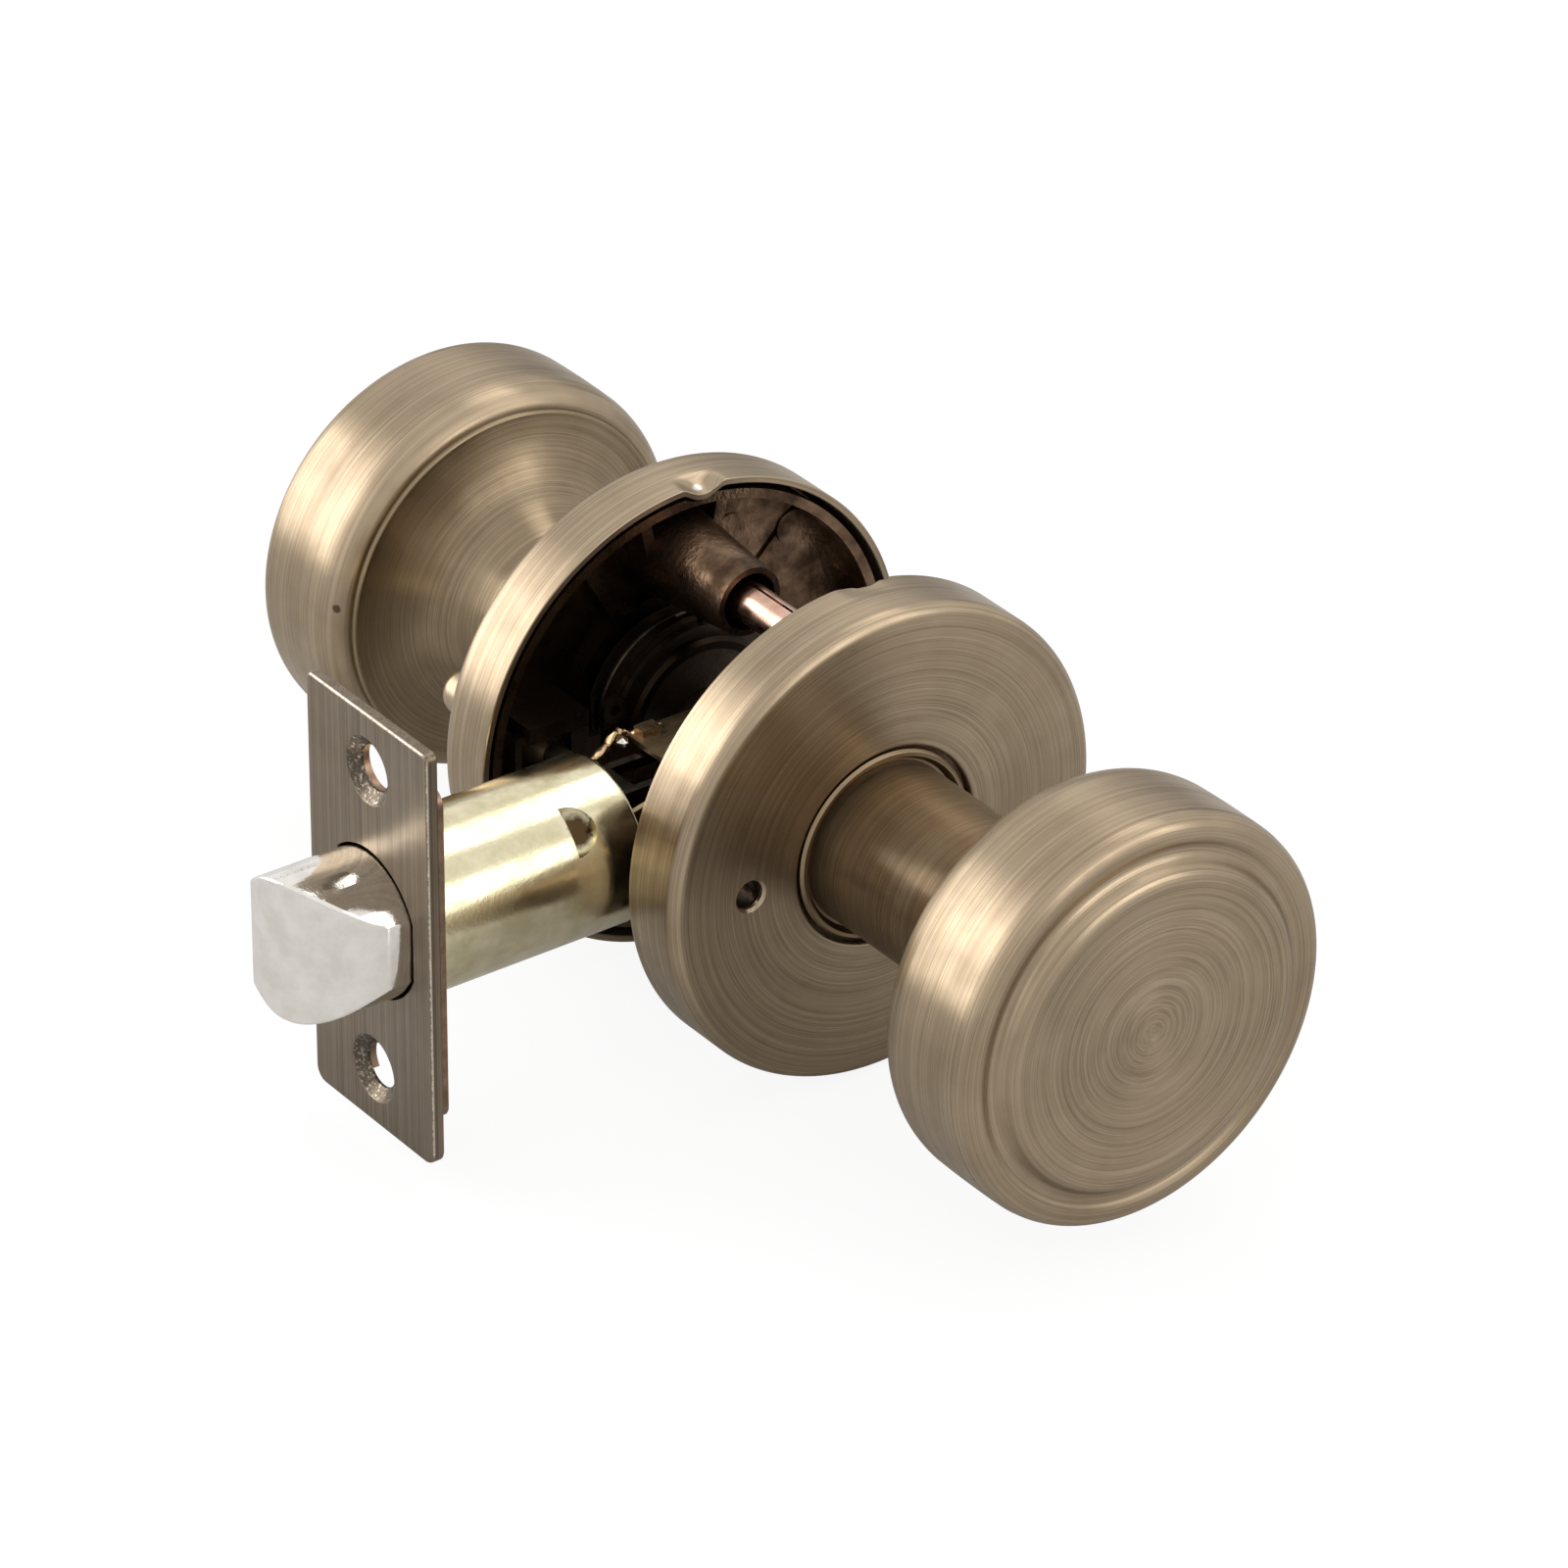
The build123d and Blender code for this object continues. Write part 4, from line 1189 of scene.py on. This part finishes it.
def dress(nodes: dict, plan: dict, shop: Workshop) -> None:
    """Gives the CAD nodes their finishes.

    Args:
        nodes: CAD nodes by name.
        plan: node name to finish key.
        shop: where the materials are made.
    """
    for name, key in plan.items():
        mesh = nodes[name].data
        mesh.materials.clear()
        mesh.materials.append(shop.metal(FINISHES[key]))


DRESSING = {
    "outside_bearing_ring": "ring", "inside_bearing_ring": "ring",
    "outside_chassis": "casting", "inside_chassis": "casting",
    "outside_return_spring": "works", "inside_return_spring": "works",
    "outside_driver_plate": "works", "inside_driver_plate": "works",
    "outside_neck_clip": "works", "inside_neck_clip": "works",
    "outside_carrier": "works", "inside_carrier": "works",
    "mounting_post_top": "copper", "mounting_post_bottom": "copper",
    "mounting_screw_top": "yellow_zinc", "mounting_screw_bottom": "yellow_zinc",
    "spindle": "works", "privacy_button": "button", "lock_catch": "works",
    "latch_faceplate": "plate", "latch_backing_plate": "backing", "latch_tube": "yellow_zinc",
    "latch_bolt": "nickel", "bolt_pin": "wire", "latch_yoke": "wire", "case_strap": "case_zinc",
    "case_cheek_inside": "case_zinc", "case_cheek_outside": "case_zinc", "latch_cam": "works",
    "spring_seat": "yellow_zinc", "latch_spring": "wire",
}


# Studio


@dataclass
class Studio:
    """Floor, background, lamps, flag and camera.

    Attributes:
        azimuth: the camera's turn about Z, in degrees.
        elevation: how far it looks down, in degrees.
        roll: its roll, in degrees.
        distance: how far it stands from the origin, in metres.
        focal_px: its focal length in the photograph's pixels.
        centre_px: the pixel that it points at.
        photo_px: the photograph's width and height.
        sensor: the width of its sensor, in millimetres.
        floor_z: the floor's height, in metres.
        floor_white: how much of the floor is plain white to the camera.
        floor_glow: how bright that white is.
        floor_grey: the floor's own grey, which takes the shadow.
        floor_mirror: the floor's grey in reflections.
        ambient: the background's level for all but the camera and reflections.
    """

    azimuth: float = -36.5
    elevation: float = 30.59
    roll: float = 0.35
    distance: float = 1.0
    focal_px: float = 8305.1
    centre_px: tuple = (793.9, 785.96)
    photo_px: int = 1600
    sensor: float = 36.0
    floor_z: float = -0.0322
    floor_white: float = 0.86
    floor_glow: float = 1.04
    floor_grey: float = 0.82
    floor_mirror: float = 0.60
    ambient: float = 0.95

    def camera(self) -> None:
        """Puts the camera where the fit to the photograph found it."""
        a, e, roll = np.radians([self.azimuth, self.elevation, self.roll])
        right = np.array([np.cos(a), np.sin(a), 0.0])
        up = np.array([-np.sin(a) * np.sin(e), np.cos(a) * np.sin(e), np.cos(e)])
        ahead = np.array([-np.sin(a) * np.cos(e), np.cos(a) * np.cos(e), -np.sin(e)])
        x = np.cos(roll) * right + np.sin(roll) * up
        y = -np.sin(roll) * right + np.cos(roll) * up
        lens = bpy.data.cameras.new("camera")
        middle = self.photo_px / 2
        lens.sensor_width = self.sensor
        lens.lens = self.focal_px / self.photo_px * self.sensor
        lens.shift_x = (middle - self.centre_px[0]) / self.photo_px
        lens.shift_y = (self.centre_px[1] - middle) / self.photo_px
        lens.clip_start, lens.clip_end = 0.05, 10.0
        camera = bpy.data.objects.new("camera", lens)
        eye = -ahead * self.distance
        rows = [(x[i], y[i], -ahead[i], eye[i]) for i in range(3)]
        camera.matrix_world = Matrix(rows + [(0, 0, 0, 1)])
        bpy.context.scene.collection.objects.link(camera)
        bpy.context.scene.camera = camera

    def lamp(self, name: str, place: tuple, size: tuple, level: float) -> None:
        """Rectangular soft lamp that faces the object.

        Args:
            name: its name.
            place: where it stands, in metres.
            size: its width and height.
            level: how bright its face is, where 1 is white.
        """
        light = bpy.data.lights.new(name, "AREA")
        light.shape, light.size, light.size_y = "RECTANGLE", size[0], size[1]
        light.energy = level * math.pi * size[0] * size[1]
        lamp = bpy.data.objects.new(name, light)
        lamp.location = place
        lamp.rotation_mode = "QUATERNION"
        lamp.rotation_quaternion = (-Vector(place)).to_track_quat("-Z", "Y")
        bpy.context.scene.collection.objects.link(lamp)

    def board(self, name: str, place: tuple, size: tuple, finish: bpy.types.Material) -> bpy.types.Object:
        """Flat board that faces the object: a grid of its four corners.

        Args:
            name: its name.
            place: its middle, in metres.
            size: its width and height.
            finish: its material.

        Returns:
            The board.
        """
        ahead = np.array(place, float) / np.linalg.norm(place)
        upright = abs(ahead[2]) < 0.99
        across = np.cross([0.0, 0.0, 1.0], ahead) if upright else np.array([1.0, 0.0, 0.0])
        across /= np.linalg.norm(across)
        up = np.cross(ahead, across)
        wide, high = across * size[0] / 2, up * size[1] / 2
        corner = [np.array(place) + wide * i + high * j for i, j in ((-1, -1), (1, -1), (1, 1), (-1, 1))]
        mesh = bpy.data.meshes.new(name)
        mesh.from_pydata([tuple(c) for c in corner], [], [(0, 1, 2, 3)])
        mesh.materials.append(finish)
        board = bpy.data.objects.new(name, mesh)
        bpy.context.scene.collection.objects.link(board)
        return board

    def flag(self, name: str, place: tuple, size: tuple, shade: float) -> None:
        """Dark board that only reflections see.

        Args:
            name: its name.
            place: its middle, in metres.
            size: its width and height.
            shade: how bright it looks, where 1 is white.
        """
        finish = bpy.data.materials.new(name)
        finish.use_nodes = True
        finish.node_tree.nodes.clear()
        b = NodeBench(finish.node_tree)
        glow = b.add("ShaderNodeEmission", in_Color=(1, 1, 1, 1), in_Strength=shade)
        b.add("ShaderNodeOutputMaterial", in_Surface=glow.outputs[0])
        board = self.board(name, place, size, finish)
        board.visible_camera = board.visible_diffuse = board.visible_shadow = False

    def floor(self) -> None:
        """Pale floor under the roses: white to the camera, with a faint shadow left on it."""
        finish = bpy.data.materials.new("pale floor")
        finish.use_nodes = True
        finish.node_tree.nodes.clear()
        b = NodeBench(finish.node_tree)
        path = b.add("ShaderNodeLightPath")
        seen = b.math("MAXIMUM", path.outputs["Is Camera Ray"], path.outputs["Is Transmission Ray"])
        share = b.math("MULTIPLY", seen, self.floor_white)
        pale, dark = ((grey, grey, grey, 1) for grey in (self.floor_grey, self.floor_mirror))
        tone = b.mix(path.outputs["Is Glossy Ray"], pale, dark)
        matt = b.add("ShaderNodeBsdfDiffuse", in_Color=tone)
        glow = b.add("ShaderNodeEmission", in_Color=(1, 1, 1, 1), in_Strength=self.floor_glow)
        mix = b.add("ShaderNodeMixShader", in_0=share)
        b.feed(mix.inputs[1], matt.outputs[0])
        b.feed(mix.inputs[2], glow.outputs[0])
        b.add("ShaderNodeOutputMaterial", in_Surface=mix.outputs[0])
        self.board("floor", (0.0, 0.0, self.floor_z), (8.0, 8.0), finish)

    def background(self) -> None:
        """White to the camera and in reflections, and a plain level of light for the rest."""
        world = bpy.data.worlds.new("studio")
        world.use_nodes = True
        world.node_tree.nodes.clear()
        b = NodeBench(world.node_tree)
        path = b.add("ShaderNodeLightPath")
        seen = b.math("MAXIMUM", path.outputs["Is Camera Ray"], path.outputs["Is Transmission Ray"])
        seen = b.math("MAXIMUM", seen, path.outputs["Is Glossy Ray"])
        strength = b.ramp(seen, 0.0, 1.0, self.ambient, 1.0)
        glow = b.add("ShaderNodeBackground", in_Color=(1, 1, 1, 1), in_Strength=strength)
        b.add("ShaderNodeOutputWorld", in_Surface=glow.outputs[0])
        bpy.context.scene.world = world

    def build(self) -> None:
        """Sets up the whole studio."""
        bpy.context.scene.view_settings.view_transform = "Standard"
        self.camera()
        self.background()
        self.floor()
        self.lamp("left lamp", (-0.78, 0.95, 0.42), (1.15, 0.95), 3.1)
        self.lamp("top lamp", (0.52, 0.16, 0.98), (0.6, 0.4), 1.9)
        self.lamp("right lamp", (0.48, -1.15, 0.58), (1.15, 0.7), 1.9)
        self.flag("back flag", (0.95, 0.95, 0.20), (0.9, 0.5), 0.4)


def main() -> None:
    """Builds the knob set and the studio."""
    logging.basicConfig(level=logging.INFO, format="%(name)s: %(message)s")
    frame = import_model()
    shop = Workshop()
    dress(frame["nodes"], DRESSING, shop)
    for side in Side:
        KnobHalf(side, shop).build()
    LatchFront(frame["nodes"], shop).build()
    LatchSpring(frame["nodes"], shop).build()
    TornCase(shop).build()
    Studio().build()


if __name__ == "__main__":
    main()
